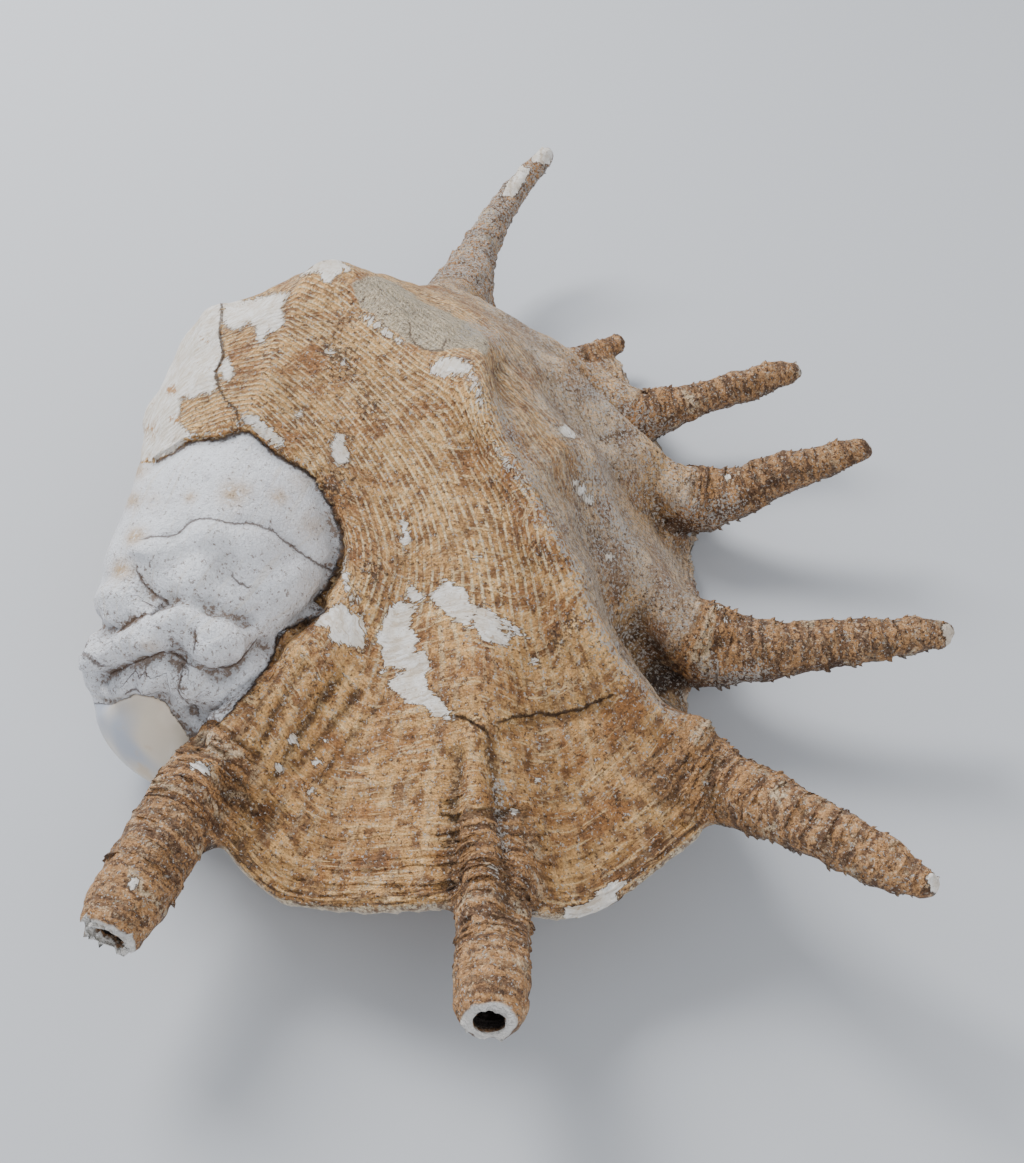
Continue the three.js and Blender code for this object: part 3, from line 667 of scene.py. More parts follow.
# Fine dark cracks in the crevices of the spire
CREVICES_PX = [
    [(105, 629), (112, 625), (125, 618), (133, 615), (140, 611), (158, 604)],
    [(104, 679), (120, 674), (127, 671), (134, 670), (146, 664), (159, 661), (174, 664), (188, 667)],
    [(176, 662), (182, 674), (180, 684), (186, 694), (194, 702), (199, 714)],
    [(196, 632), (198, 640), (196, 650)],
    [(213, 668), (228, 669), (238, 663), (250, 648), (258, 640)],
    [(137, 570), (141, 580), (150, 590), (160, 591), (170, 598)],
    [(84, 640), (92, 650), (104, 654), (110, 664)],
    [(128, 690), (140, 684), (152, 688), (160, 697)],
    [(232, 575), (238, 583), (247, 588)],
]
SEAM_LINES = [MAIN_SUTURE_PX, LIP_SUTURE_PX, GROWTH_CRACK_PX, LONG_CRACK_PX]
CRACK_LINES = [SECOND_SUTURE_PX, SHOULDER_CRACK_PX, FACET_CRACK_PX, *CREVICES_PX]
# Thin ledges that stand over what lies beside them: line, side that is raised, height in mm
LEDGES_PX = [
    (MAIN_SUTURE_PX, -1, 0.75),
    (LIP_SUTURE_PX, -1, 0.7),
    (GROWTH_CRACK_PX, -1, 0.5),
    (LONG_CRACK_PX, -1, 0.55),
    (SHOULDER_CRACK_PX, 1, 0.3),
]


def camera_axes():
    right = np.array([math.cos(CAMERA_AZIMUTH), math.sin(CAMERA_AZIMUTH), 0])
    level = math.cos(CAMERA_ELEVATION)
    forward = np.array([
        -math.sin(CAMERA_AZIMUTH) * level,
        math.cos(CAMERA_AZIMUTH) * level,
        -math.sin(CAMERA_ELEVATION),
    ])
    return right, np.cross(right, forward), forward


CAMERA_RIGHT, CAMERA_UP, CAMERA_FORWARD = camera_axes()
CAMERA_PLACE = CAMERA_TARGET - CAMERA_DISTANCE * CAMERA_FORWARD


def photo_pixels(points):
    """Where points in mm are seen in the photograph, and mm to a pixel there."""
    away = points - CAMERA_PLACE
    depth = away @ CAMERA_FORWARD
    x = PHOTO_WIDTH / 2 + FOCAL_PIXELS * (away @ CAMERA_RIGHT) / depth
    y = PHOTO_HEIGHT / 2 - FOCAL_PIXELS * (away @ CAMERA_UP) / depth
    return np.stack([x, y], axis=1), depth / FOCAL_PIXELS


def pixel_ray(x, y):
    sideways = (x - PHOTO_WIDTH / 2) / FOCAL_PIXELS
    upward = (PHOTO_HEIGHT / 2 - y) / FOCAL_PIXELS
    return Vector(CAMERA_FORWARD + sideways * CAMERA_RIGHT + upward * CAMERA_UP).normalized()


def inside_distance(pixels, corners):
    """Distance to a polygon's edge in pixels, positive inside it."""
    corners = np.array(corners, float)
    nearest_edge = line_distance(pixels, np.concatenate([corners, corners[:1]]))
    inside = np.zeros(len(pixels), bool)
    for a, b in zip(corners, np.roll(corners, -1, axis=0)):
        crosses = (a[1] > pixels[:, 1]) != (b[1] > pixels[:, 1])
        rise = b[1] - a[1]
        rise = rise if abs(rise) > 1e-9 else 1e-9
        meets_at = a[0] + (pixels[:, 1] - a[1]) * (b[0] - a[0]) / rise
        inside ^= crosses & (pixels[:, 0] < meets_at)
    return np.where(inside, nearest_edge, -nearest_edge)


LINE_END_PX = 5
LINE_REACH_PX = (17, 12)


def signed_distance(pixels, lines):
    """Distance from the nearest of some lines in pixels, with the side as its sign, and its share."""
    best = np.full(len(pixels), FAR)
    signed = np.full(len(pixels), FAR)
    past_end = np.zeros(len(pixels))
    for line in lines:
        line = np.array(line, float)
        last = len(line) - 2
        for i, (a, b) in enumerate(zip(line[:-1], line[1:])):
            span = b - a
            length = np.linalg.norm(span)
            share = ((pixels - a) @ span) / length**2
            gap = np.linalg.norm(pixels - a - np.clip(share, 0, 1)[:, None] * span, axis=1)
            turn = (span[0] * (pixels[:, 1] - a[1]) - span[1] * (pixels[:, 0] - a[0])) / length
            beyond = np.zeros(len(pixels))
            if i == 0:
                beyond = np.maximum(beyond, -share * length)
            if i == last:
                beyond = np.maximum(beyond, (share - 1) * length)
            closer = gap < best
            best = np.where(closer, gap, best)
            signed = np.where(closer, np.sign(turn) * gap, signed)
            past_end = np.where(closer, beyond, past_end)
    return signed, smoothstep(LINE_END_PX, 0, past_end) * smoothstep(*LINE_REACH_PX, best)


# A vertex counts as turned to the camera from one of these to the other; rays start this far off it
GRAZING = -0.05
FACING = 0.1
RAY_START = 0.9


def seen_share(surface, normals):
    """1 where the camera sees a vertex, 0 where it is hidden or turned away."""
    tree = surface.tree()
    facing = -(normals @ CAMERA_FORWARD)
    seen = np.zeros(surface.count)
    for i in np.flatnonzero(facing > GRAZING):
        start = Vector(surface.points[i] + RAY_START * normals[i])
        toward = Vector(CAMERA_PLACE) - start
        seen[i] = tree.ray_cast(start, toward.normalized())[0] is None
    return surface.soften(seen, 1) * smoothstep(GRAZING, FACING, facing)


def spire_fields(drawn):
    """Place along the spire's slanted rings, turn about its axis, and height over the ring there."""
    x = drawn[:, 0] - np.interp(drawn[:, 1], AXIS_Y, AXIS_X)
    z = drawn[:, 2] - np.interp(drawn[:, 1], AXIS_Z_Y, AXIS_Z)
    angle = np.degrees(np.arctan2(x, z))
    tilt = np.sin(np.radians(angle - SPIRE_SLANT_ANGLE))
    ring = drawn[:, 1]
    for _ in range(6):
        ring = drawn[:, 1] - np.interp(ring, SPIRE_Y, SPIRE_SLANT) * tilt
    flank = np.maximum(0, np.cos(np.radians(angle - SWELL_ANGLE)))
    radius = np.interp(ring, SPIRE_Y, SPIRE_RADIUS) + np.interp(ring, SPIRE_Y, SPIRE_SWELL) * flank**2
    return ring, angle, np.hypot(x, z) - radius


SPIRE_RELIEF_GAIN = 0.6
NO_MARK = -30.0
FORM_MARK = 3.0
SEEN_LIMIT = 0.4
HIDDEN_SUTURES = (-51, -67)
# How near a digit's middle its fillet, its own skin and the canal's crust end, in radii
FILLET_RATIOS = (3.4, 2.0)
DIGIT_RATIOS = (1.45, 1.12)
CANAL_RATIOS = (2.2, 1.2)
# The lining lies this far under the outer surface
LINING_GAP = 3.2
# The spire and the callus by their forms, in the drawing's mm
OFF_OUTER = 1
LEFT_PART_X = -24
SPIRE_PART_Y = -14
SPIRE_LOW_Z = 30
SPIRE_LAST_RING = -18
SPIRE_THICKNESS = 4
CALLUS_PART_X = -34
CALLUS_PART_Y = -20
CALLUS_WANDER = 7
CALLUS_WAVELENGTH = 16
# Wavelengths of the low relief in mm
BROAD_WAVE = 22
LUMP_WAVE = 10
DIGIT_WAVE = 9
SMALL_WAVE = 5
# Rings of the spire between which it turns lumpy, then crusty
LUMPY_RINGS = (-46, -56)
CRUSTY_RINGS = (-62, -70)
HIDDEN_SUTURE_DEPTH = 0.9
HIDDEN_SUTURE_REACH = 1.3
# Passes of averaging that a small hollow and a wide one are measured against
HOLLOW_PASSES = 5
CREVICE_PASSES = 26


class PhotoView:
    """Where the photograph shows each vertex, whether it does, and the marks that it shows there."""

    def __init__(self, surface, normals):
        self.seen = seen_share(surface, normals)
        self.pixels, self.mm_per_pixel = photo_pixels(surface.points)

    def gap(self, x, y):
        return np.linalg.norm(self.pixels - np.array([x, y]), axis=1)

    def inside(self, corners, elsewhere):
        """Mm inside a polygon where the vertex is seen, another measure elsewhere."""
        distance = inside_distance(self.pixels, corners) * self.mm_per_pixel
        return np.where(self.seen > SEEN_LIMIT, distance, elsewhere)

    def worn(self):
        worn = np.full(len(self.pixels), NO_MARK)
        for corners in WORN_PX.values():
            worn = np.maximum(worn, inside_distance(self.pixels, corners) * self.mm_per_pixel)
        worn = np.minimum(worn, -inside_distance(self.pixels, BROWN_PATCH_PX) * self.mm_per_pixel)
        for x, y, radius in SPOTS_PX:
            worn = np.maximum(worn, (radius - self.gap(x, y)) * self.mm_per_pixel)
        return np.where(self.seen > SEEN_LIMIT, worn, NO_MARK)

    def dots(self, places):
        """Soft round marks: x, y, radius and strength of each."""
        total = np.zeros(len(self.pixels))
        for x, y, radius, strength in places:
            total = np.maximum(total, strength * bell(self.gap(x, y), radius))
        return total * self.seen

    def soft_lines(self, lines):
        total = np.zeros(len(self.pixels))
        for line, reach in lines:
            total = np.maximum(total, bell(line_distance(self.pixels, line), reach))
        return total * self.seen

    def relief(self):
        lift = np.zeros(len(self.pixels))
        for line, height, reach in RELIEF_LINES_PX:
            lift += height * bell(line_distance(self.pixels, line) * self.mm_per_pixel, reach) * self.seen
        for x, y, radius, height in BUMPS_PX:
            lift += height * bell(self.gap(x, y), radius) * self.seen
        return lift

    def fields(self):
        """The marks that the finish reads."""
        seam, seam_share = signed_distance(self.pixels, SEAM_LINES)
        crack, crack_share = signed_distance(self.pixels, CRACK_LINES)
        return {
            "facet": self.inside(FACET_PX, NO_MARK),
            "seam": seam * self.mm_per_pixel, "seam_share": seam_share * self.seen,
            "crack": crack * self.mm_per_pixel, "crack_share": crack_share * self.seen,
            "brown": self.dots(BROWN_PX), "stain": self.dots(STAINS_PX),
            "groove_shade": self.soft_lines(SHADED_GROOVES_PX), "dirt": self.soft_lines(DIRT_LINES_PX),
            "crust": self.soft_lines(CRUST_LINES_PX),
        }


def spire_and_callus(surface, view, digit, off, drawn, ring, over_ring):
    """Both in mm inside their edges: by the photograph where it shows them, by their forms elsewhere."""
    left_part = (drawn[:, 0] < LEFT_PART_X) & (off > OFF_OUTER)
    on_spire = left_part & (drawn[:, 1] < SPIRE_PART_Y) & (drawn[:, 2] > SPIRE_LOW_Z)
    on_spire &= (np.abs(over_ring) < SPIRE_THICKNESS) & (ring < SPIRE_LAST_RING)
    within = np.minimum(CALLUS_PART_Y - drawn[:, 1], CALLUS_PART_X - drawn[:, 0])
    within = within + CALLUS_WANDER * noise_at(surface.points, CALLUS_WAVELENGTH, 3, 8)
    on_callus = left_part & ~on_spire & (within > 0)
    found = []
    for mask, passes, corners in ((on_spire, 2, SPIRE_PX), (on_callus, 3, CALLUS_PX)):
        form = surface.soften(np.where(mask, FORM_MARK, -FORM_MARK), passes)
        found.append(np.where(digit > 0.5, -FORM_MARK, view.inside(corners, form)))
    return found


def low_relief(points, view, digit, ring, inner, spire_share, callus_share):
    """Height in mm of the lumps, ribs, grooves and crevices on each vertex."""
    outer = np.clip(1 - inner - spire_share - callus_share, 0, 1)
    hidden_spire = spire_share * (1 - view.seen)
    broad = noise_at(points, BROAD_WAVE, 3, 1)
    small = noise_at(points, SMALL_WAVE, 3, 2)
    lumps = noise_at(points, LUMP_WAVE, 3, 3)
    lift = view.relief() * (1 + SPIRE_RELIEF_GAIN * spire_share)
    for place in HIDDEN_SUTURES:
        lift -= HIDDEN_SUTURE_DEPTH * bell(ring - place, HIDDEN_SUTURE_REACH) * hidden_spire
    lift += 0.8 * broad * outer * (1 - digit) + 0.35 * small * outer
    lift += digit * (0.55 * small + 0.35 * noise_at(points, DIGIT_WAVE, 2, 6))
    lumpy = smoothstep(*LUMPY_RINGS, ring) * spire_share
    crusty = smoothstep(*CRUSTY_RINGS, ring) * spire_share
    lift += lumpy * (0.5 * lumps + 0.3 * small) + crusty * (0.9 * lumps + 0.5 * small)
    lift += 0.4 * lumps * hidden_spire + 0.2 * broad * (inner + callus_share)
    # The face that the shell rests on stays flat
    return lift * (smoothstep(0, 1, points[:, 2]) * 0.999 + 0.001)


def build_surface():
    """The skin with its low relief, and the fields that its finish reads."""
    piece = working_mesh()
    surface = Surface(piece.data)
    surface.smooth(SMOOTHING_PASSES)
    ratio = tube_fields(surface)["ratio"]
    surface.fill(smoothstep(*FILLET_RATIOS, ratio) * smoothstep(0.7, 0.85, ratio), FILLET_PASSES)
    normals = surface.normals()
    growth = growth_fields(surface, normals)
    tubes = tube_fields(surface)
    view = PhotoView(surface, normals)
    drawn = surface.points - DRAWING_TO_ROW
    ring, angle, over_ring = spire_fields(drawn)

    digit = smoothstep(*DIGIT_RATIOS, tubes["ratio"])
    off = growth["off"]
    spire, callus = spire_and_callus(surface, view, digit, off, drawn, ring, over_ring)
    spire_share = smoothstep(-1, 1, spire)
    callus_share = smoothstep(-1, 1, callus)
    lining = (growth["side"] < -0.1) | ((off > LINING_GAP) & (growth["above"] < 0.5 * off))
    inner = np.where(lining, 1.0, 0.0) * (1 - spire_share) * (1 - callus_share) * (1 - digit)
    inner = surface.soften(inner, 3)
    worn = np.where((inner > 0.5) | (spire > 0), NO_MARK, view.worn())
    broken = [list(TUBES).index(name) for name in BROKEN_DIGITS]
    on_canal = (tubes["which"] == list(TUBES).index("canal")) * smoothstep(*CANAL_RATIOS, tubes["ratio"])

    lift = low_relief(surface.points, view, digit, ring, inner, spire_share, callus_share)
    surface.points = surface.points + lift[:, None] * normals
    break_ends(surface, tubes, normals)
    surface.points = np.clip(surface.points, cad_low, cad_high)
    bend = surface.points - surface.soften(surface.points, HOLLOW_PASSES)
    wide_bend = surface.points - surface.soften(surface.points, CREVICE_PASSES)
    surface.write()
    fields = view.fields()
    fields["crust"] = np.maximum(fields["crust"], on_canal)
    fields |= {
        "cord": growth["cord"], "grow": growth["grow"], "digit": digit, "to_tip": tubes["to_tip"],
        "low_side": tubes["low"], "ratio": tubes["ratio"], "broken": np.isin(tubes["which"], broken),
        "spire": spire, "callus": callus, "inner": inner, "worn": worn, "ring": ring, "turn": angle,
        "hollow": -(bend * normals).sum(1), "crevice": -(wide_bend * normals).sum(1),
    }
    return piece, surface, fields


END_REACH = 6
NARROWING_REACH = 5
# Where a bore's wall is found, in radii of its digit
BORE_RATIOS = (0.25, 0.64)


def break_ends(surface, tubes, normals):
    """Rounds the bores of the two broken digits and pushes their rims back unevenly."""
    for name in BROKEN_DIGITS:
        line = np.array(TUBES[name], float)
        end = line[-1, :3] + DRAWING_TO_ROW
        ahead = unit(line[-1, :3] - line[-2, :3])
        on_digit = tubes["which"] == list(TUBES).index(name)
        from_end = surface.points - end
        across = from_end - (from_end @ ahead)[:, None] * ahead
        inward = -(normals * unit(across)).sum(1)
        in_bore = (tubes["ratio"] > BORE_RATIOS[0]) & (tubes["ratio"] < BORE_RATIOS[1])
        in_bore &= tubes["to_tip"] < BORE_WALL_DEPTH
        wall = on_digit & in_bore & (inward > -0.1)
        change = BORE_RADIUS - np.linalg.norm(across, axis=1)
        surface.points[wall] += (change[:, None] * unit(across))[wall]
        near = on_digit & (tubes["to_tip"] < END_REACH)
        away = surface.points[near] - end
        outward = away - (away @ ahead)[:, None] * ahead
        jag = noise_at(unit(outward) * 10, BREAK_WAVELENGTH, 3, 7)
        to_tip = tubes["to_tip"][near]
        back = BREAK_DEPTH[name] * np.clip(0.3 + 1.4 * jag, 0, 1) * smoothstep(END_REACH, 0, to_tip)
        narrow = END_NARROWING[name] * smoothstep(NARROWING_REACH, 0, to_tip)
        surface.points[near] -= back[:, None] * ahead + narrow[:, None] * outward


# Extra pieces: scales and ledges too thin for the skin

def store_field(mesh, name, values):
    field = mesh.attributes.new(name, "FLOAT", "POINT")
    field.data.foreach_set("value", np.asarray(values, np.float32))


class Strips:
    """Strips of quads that take the skin's fields."""

    def __init__(self, name):
        self.name = name
        self.points = []
        self.faces = []

    def add(self, sections, closed):
        """Sections of four points, foot to foot over the crest; closed strips join end to start."""
        first = len(self.points)
        length = len(sections)
        for row in zip(*sections):
            self.points.extend(row)
        spans = length if closed else length - 1
        for r in range(len(sections[0]) - 1):
            for k in range(spans):
                a = first + r * length + k
                b = first + r * length + (k + 1) % length
                self.faces.append((a, b, b + length, a + length))

    def finish(self, skin_tree, fields):
        mesh = bpy.data.meshes.new(self.name)
        points = np.clip(np.array(self.points), cad_low, cad_high)
        mesh.from_pydata((points * MM).tolist(), [], self.faces)
        piece = bpy.data.objects.new(self.name, mesh)
        bpy.context.scene.collection.objects.link(piece)
        found = [skin_tree.find_n(p, 3) for p in points]
        which = np.array([[f[1] for f in three] for three in found])
        gaps = np.array([[f[2] for f in three] for three in found])
        weight = 1 / (gaps + 0.05)
        weight /= weight.sum(axis=1, keepdims=True)
        for name, values in fields.items():
            store_field(mesh, name, (values[which] * weight).sum(axis=1))
        return piece


LAMELLA_SIDES = 80
LAMELLA_SAMPLES = 80
LAMELLA_START_SHARE = 0.16
LAMELLA_GAP = (1.2, 3.1)
LAMELLA_ARCH = (0.2, 1.6)
LAMELLA_PHASE = (-0.5, 0.5)
LAMELLA_RAGGED = (0.6, 1.8)
LAMELLA_WAVELENGTH = 1.7
LAMELLA_HEIGHT = 0.8
LAMELLA_SINK = 0.35
LAMELLA_REACH = 0.9
# How far along the digit a scale's feet and its crest stand, in mm, and how steep its flank is
LAMELLA_BACK_FOOT = -0.9
LAMELLA_FRONT_FOOT = 0.1
LAMELLA_CREST = 0.15
LAMELLA_FLANK = 0.7
# How far out the skin is looked for and where it is taken to be if it isn't met, in radii
LAMELLA_LOOK = 1.5
LAMELLA_MISSED = 0.7
# Last stretch of a digit without scales, in mm
WHOLE_TIP = 1.5
BROKEN_TIP = 3.5
USUAL_RADIUS = 7


def lamella_section(tree, start, ahead, way, radius, height):
    """Foot, flank, crest and foot of a scale, out from the digit's middle along one way."""
    hit = tree.ray_cast(Vector(start), Vector(way), radius * LAMELLA_LOOK)
    skin = hit[3] if hit[0] is not None else radius * LAMELLA_MISSED
    lift = height if hit[0] is not None else -1.0
    lift = np.clip(lift, -1, LAMELLA_HEIGHT * 1.3)
    lean = LAMELLA_REACH * max(lift, 0)
    return (
        start + LAMELLA_BACK_FOOT * ahead + (skin - LAMELLA_SINK) * way,
        start + (skin + LAMELLA_FLANK * lift) * way,
        start + (LAMELLA_CREST + lean) * ahead + (skin + lift) * way,
        start + LAMELLA_FRONT_FOOT * ahead + (skin - LAMELLA_SINK) * way,
    )


def digit_lamellae(tree, rng):
    """Ragged collars of flaky skin round the digits, each one leaning toward the tip."""
    strips = Strips("digit_scales")
    turns = np.linspace(0, 2 * math.pi, LAMELLA_SIDES, endpoint=False)
    circle = np.stack([np.cos(turns), np.sin(turns), 0 * turns], axis=1) * 3.2
    for number, (name, line) in enumerate(TUBES.items()):
        line = np.array(line, float)
        dense = spline(line, np.linspace(0, len(line) - 1, LAMELLA_SAMPLES * (len(line) - 1) + 1))
        middle = dense[:, :3] + DRAWING_TO_ROW
        along = np.concatenate([[0], np.linalg.norm(np.diff(middle, axis=0), axis=1).cumsum()])
        ahead_all = unit(np.gradient(middle, axis=0))
        at = LAMELLA_START_SHARE * along[-1]
        end = along[-1] - (BROKEN_TIP if name in BROKEN_DIGITS else WHOLE_TIP)
        while at < end:
            at += rng.uniform(*LAMELLA_GAP)
            arch = rng.uniform(*LAMELLA_ARCH)
            phase = rng.uniform(*LAMELLA_PHASE)
            i = int(np.searchsorted(along, min(at, along[-1] - 0.2)))
            ahead = ahead_all[i]
            side = unit(np.cross(ahead, (0, 0, 1)))
            top = np.cross(side, ahead)
            radius = dense[i, 3]
            ways = np.cos(turns)[:, None] * top + np.sin(turns)[:, None] * side
            shift = arch * np.cos(turns - phase)
            ragged = rng.uniform(*LAMELLA_RAGGED) * noise_at(
                circle + np.array([0, 0, at]), LAMELLA_WAVELENGTH, 4, number)
            height = LAMELLA_HEIGHT * (0.1 + ragged) * (radius / USUAL_RADIUS) ** 0.5
            starts = middle[i] + shift[:, None] * ahead
            strips.add([
                lamella_section(tree, start, ahead, way, radius, tall)
                for start, way, tall in zip(starts, ways, height)
            ], closed=True)
    return strips


# How far back from the lip's edge each layer ends, in mm
LIP_LAYERS = (0.9, 2.1, 3.6, 5.6, 8.2, 11.5, 16.0)
LIP_LAYER_HEIGHT = 1.1
LIP_LAYER_CORDS = (1.05, 12.4)
LIP_LAYER_STEP = 0.34
LIP_LAYER_GRIP = 6.0
LIP_WOBBLE = 1.6
LIP_FRAY = 0.5
# Section of a layer's edge: mm toward the edge, mm out of the skin or share of the layer's height
LIP_BACK_FOOT = (-1.5, -0.3)
LIP_FLANK = (-0.3, 0.8)
LIP_CREST = 0.3
LIP_FRONT_FOOT = (0.1, -0.4)
LIP_LOWEST = -0.6


def fractal_line(at, row, level):
    return noise.fractal(Vector((at, row, level)), 1.0, 2.0, 3)


def lip_layer_section(tree, line, to_edge, at, layer, back):
    """Foot, flank, crest and foot of a layer's edge on one growth line."""
    fray = fractal_line(at * 0.9, layer * 5.1, 2.5)
    place = back + LIP_WOBBLE * fractal_line(at * 0.14, layer * 3.7, 0.5) + LIP_FRAY * fray
    shift = np.interp(-max(place, 0.2), -to_edge, np.arange(len(to_edge)))
    c = int(shift)
    after = line[min(c + 1, len(line) - 1)]
    p = line[c] + (shift - c) * (after - line[c])
    onward = unit(after - line[max(c - 1, 0)])
    hit = tree.find_nearest(Vector(p), LIP_LAYER_GRIP)
    height = LIP_LAYER_HEIGHT * (1 - 0.06 * back) * (0.25 + 1.1 * fray)
    if hit[0] is None:
        spot, out, height = p, np.array([0, 0, 1.0]), -1.0
    else:
        spot, out = np.array(hit[0]), np.array(hit[1])
    height = max(height, LIP_LOWEST)
    return (
        spot + LIP_BACK_FOOT[0] * onward + LIP_BACK_FOOT[1] * out,
        spot + LIP_FLANK[0] * onward + LIP_FLANK[1] * height * out,
        spot + LIP_CREST * onward + height * out,
        spot + LIP_FRONT_FOOT[0] * onward + LIP_FRONT_FOOT[1] * out,
    )


def lip_layers(grid, tree):
    """Thin ragged layers that end one behind another along the lip's edge."""
    strips = Strips("lip_layers")
    to_edge = edge_distance(grid)
    first, last = LIP_LAYER_CORDS
    fine_rows = np.arange(first * CORDS_PER_STEP, last * CORDS_PER_STEP, LIP_LAYER_STEP)
    for layer, back in enumerate(LIP_LAYERS):
        sections = []
        for at in fine_rows:
            r = int(at)
            f = at - r
            line = (1 - f) * grid[r] + f * grid[r + 1]
            far = (1 - f) * to_edge[r] + f * to_edge[r + 1]
            sections.append(lip_layer_section(tree, line, far, at, layer, back))
        strips.add(sections, closed=False)
    return strips


LEDGE_STEP_PX = 2.0
# Section of a ledge: mm back from its edge, mm out of the skin or share of the ledge's height
LEDGE_BACK_FOOT = (3.2, -0.25)
LEDGE_FLANK = (0.8, 0.85)
LEDGE_FRONT_FOOT = (0.25, -0.4)
LEDGE_FRAY = 0.35
# Share of the height that a ledge gains with each step from its ends
LEDGE_END_RISE = 0.25


def ledges(tree):
    """Edges of layers that overlap what lies beside them."""
    strips = Strips("ledges")
    for number, (line, raised_side, height) in enumerate(LEDGES_PX):
        line = np.array(line, float)
        along = np.concatenate([[0], np.linalg.norm(np.diff(line, axis=0), axis=1).cumsum()])
        at = np.arange(0, along[-1], LEDGE_STEP_PX)
        x = np.interp(at, along, line[:, 0])
        y = np.interp(at, along, line[:, 1])
        hits = [tree.ray_cast(Vector(CAMERA_PLACE), pixel_ray(*pixel)) for pixel in zip(x, y)]
        hits = [hit for hit in hits if hit[0] is not None]
        spots = np.array([hit[0] for hit in hits])
        outs = np.array([hit[1] for hit in hits])
        onward = unit(np.gradient(spots, axis=0))
        raised = unit(np.cross(onward, outs)) * raised_side
        sections = []
        for k, (spot, out, way) in enumerate(zip(spots, outs, raised)):
            fray = fractal_line(k * 0.35, number * 4.1, 1.5)
            end_fade = min(1, LEDGE_END_RISE * k, LEDGE_END_RISE * (len(spots) - 1 - k))
            tall = height * end_fade * (0.8 + 0.7 * fray)
            edge = spot - LEDGE_FRAY * fray * way
            sections.append((
                edge + LEDGE_BACK_FOOT[0] * way + LEDGE_BACK_FOOT[1] * out,
                edge + LEDGE_FLANK[0] * way + LEDGE_FLANK[1] * tall * out,
                edge + tall * out,
                edge + LEDGE_FRONT_FOOT[0] * way + LEDGE_FRONT_FOOT[1] * out,
            ))
        strips.add(sections, closed=False)
    return strips


# Materials

CORDS_PER_INDEX = 7
WHITE_END = srgb(236, 232, 226)
# Painted shade inside the bores of the broken digits
BORE_SHADE = srgb(40, 34, 32)
SEAM_DARK = srgb(72, 52, 38)
CRACK_DARK = srgb(90, 68, 52)
FLOOR_PALE = srgb(198, 201, 206)
SKY_PALE = srgb(236, 240, 246)
TAN_LIGHT = srgb(224, 173, 110)
TAN_DEEP = srgb(168, 117, 70)
BAND_GOLD = srgb(230, 182, 118)
BLOTCH_BROWN = srgb(126, 86, 54)
STREAK_BROWN = srgb(124, 92, 68)
LINE_BROWN = srgb(106, 80, 60)
LINE_PALE = srgb(242, 208, 156)
CORD_PALE = srgb(244, 220, 176)
SLOPE_LIGHT = srgb(212, 188, 160)
SLOPE_DEEP = srgb(156, 134, 114)
SLOPE_LINE = srgb(116, 100, 88)
FACET_LIGHT = srgb(208, 196, 172)
FACET_DEEP = srgb(170, 156, 132)
LAYER_DARK = srgb(84, 62, 46)
RIM_LIGHT = srgb(214, 196, 166)
RIM_DEEP = srgb(120, 92, 68)
RING_DARK = srgb(108, 78, 56)
RING_LIGHT = srgb(198, 148, 98)
DIGIT_BLOTCH = srgb(86, 66, 52)
DIGIT_PALE = srgb(220, 188, 148)
DIGIT_BAND = srgb(230, 206, 170)
DIGIT_TIP = srgb(232, 224, 208)
# Painted shade on the digits' low sides
UNDERSIDE_SHADE = srgb(60, 52, 52)
# Painted shade in grooves and under the digits
GROOVE_SHADE = srgb(84, 60, 44)
PIT_BROWN = srgb(78, 58, 46)
CRUST_LIGHT = srgb(226, 222, 216)
CRUST_DEEP = srgb(176, 168, 160)
CHALK = srgb(242, 239, 234)
CHALK_WARM = srgb(222, 212, 198)
CHALK_LINE = srgb(190, 170, 144)
CHALK_SPECK = srgb(178, 142, 104)
CHALK_STAIN = srgb(176, 132, 84)
# The spire's chalk whites, with a slight blue tint that is painted reflected light
SPIRE_WHITE_BLUE_REFLECTION = srgb(242, 244, 249)
SPIRE_GREY_BLUE_REFLECTION = srgb(230, 231, 236)
SPIRE_LINE = srgb(218, 206, 188)
SPIRE_SHADE = srgb(206, 204, 208)
SPIRE_STAIN = srgb(196, 160, 110)
# Dirt on the spire, also used for painted shade in its hollows
SPIRE_DIRT_AND_SHADE = srgb(126, 104, 86)
SPIRE_SPECK = srgb(122, 100, 80)
GLAZE_WARM = srgb(226, 214, 196)
GLAZE_BLUE = srgb(184, 190, 202)
GLAZE_TAN = srgb(214, 190, 156)
LINING_EDGE = srgb(238, 226, 206)
LINING_DEEP = srgb(220, 168, 122)
LINING_PALE = srgb(240, 222, 204)


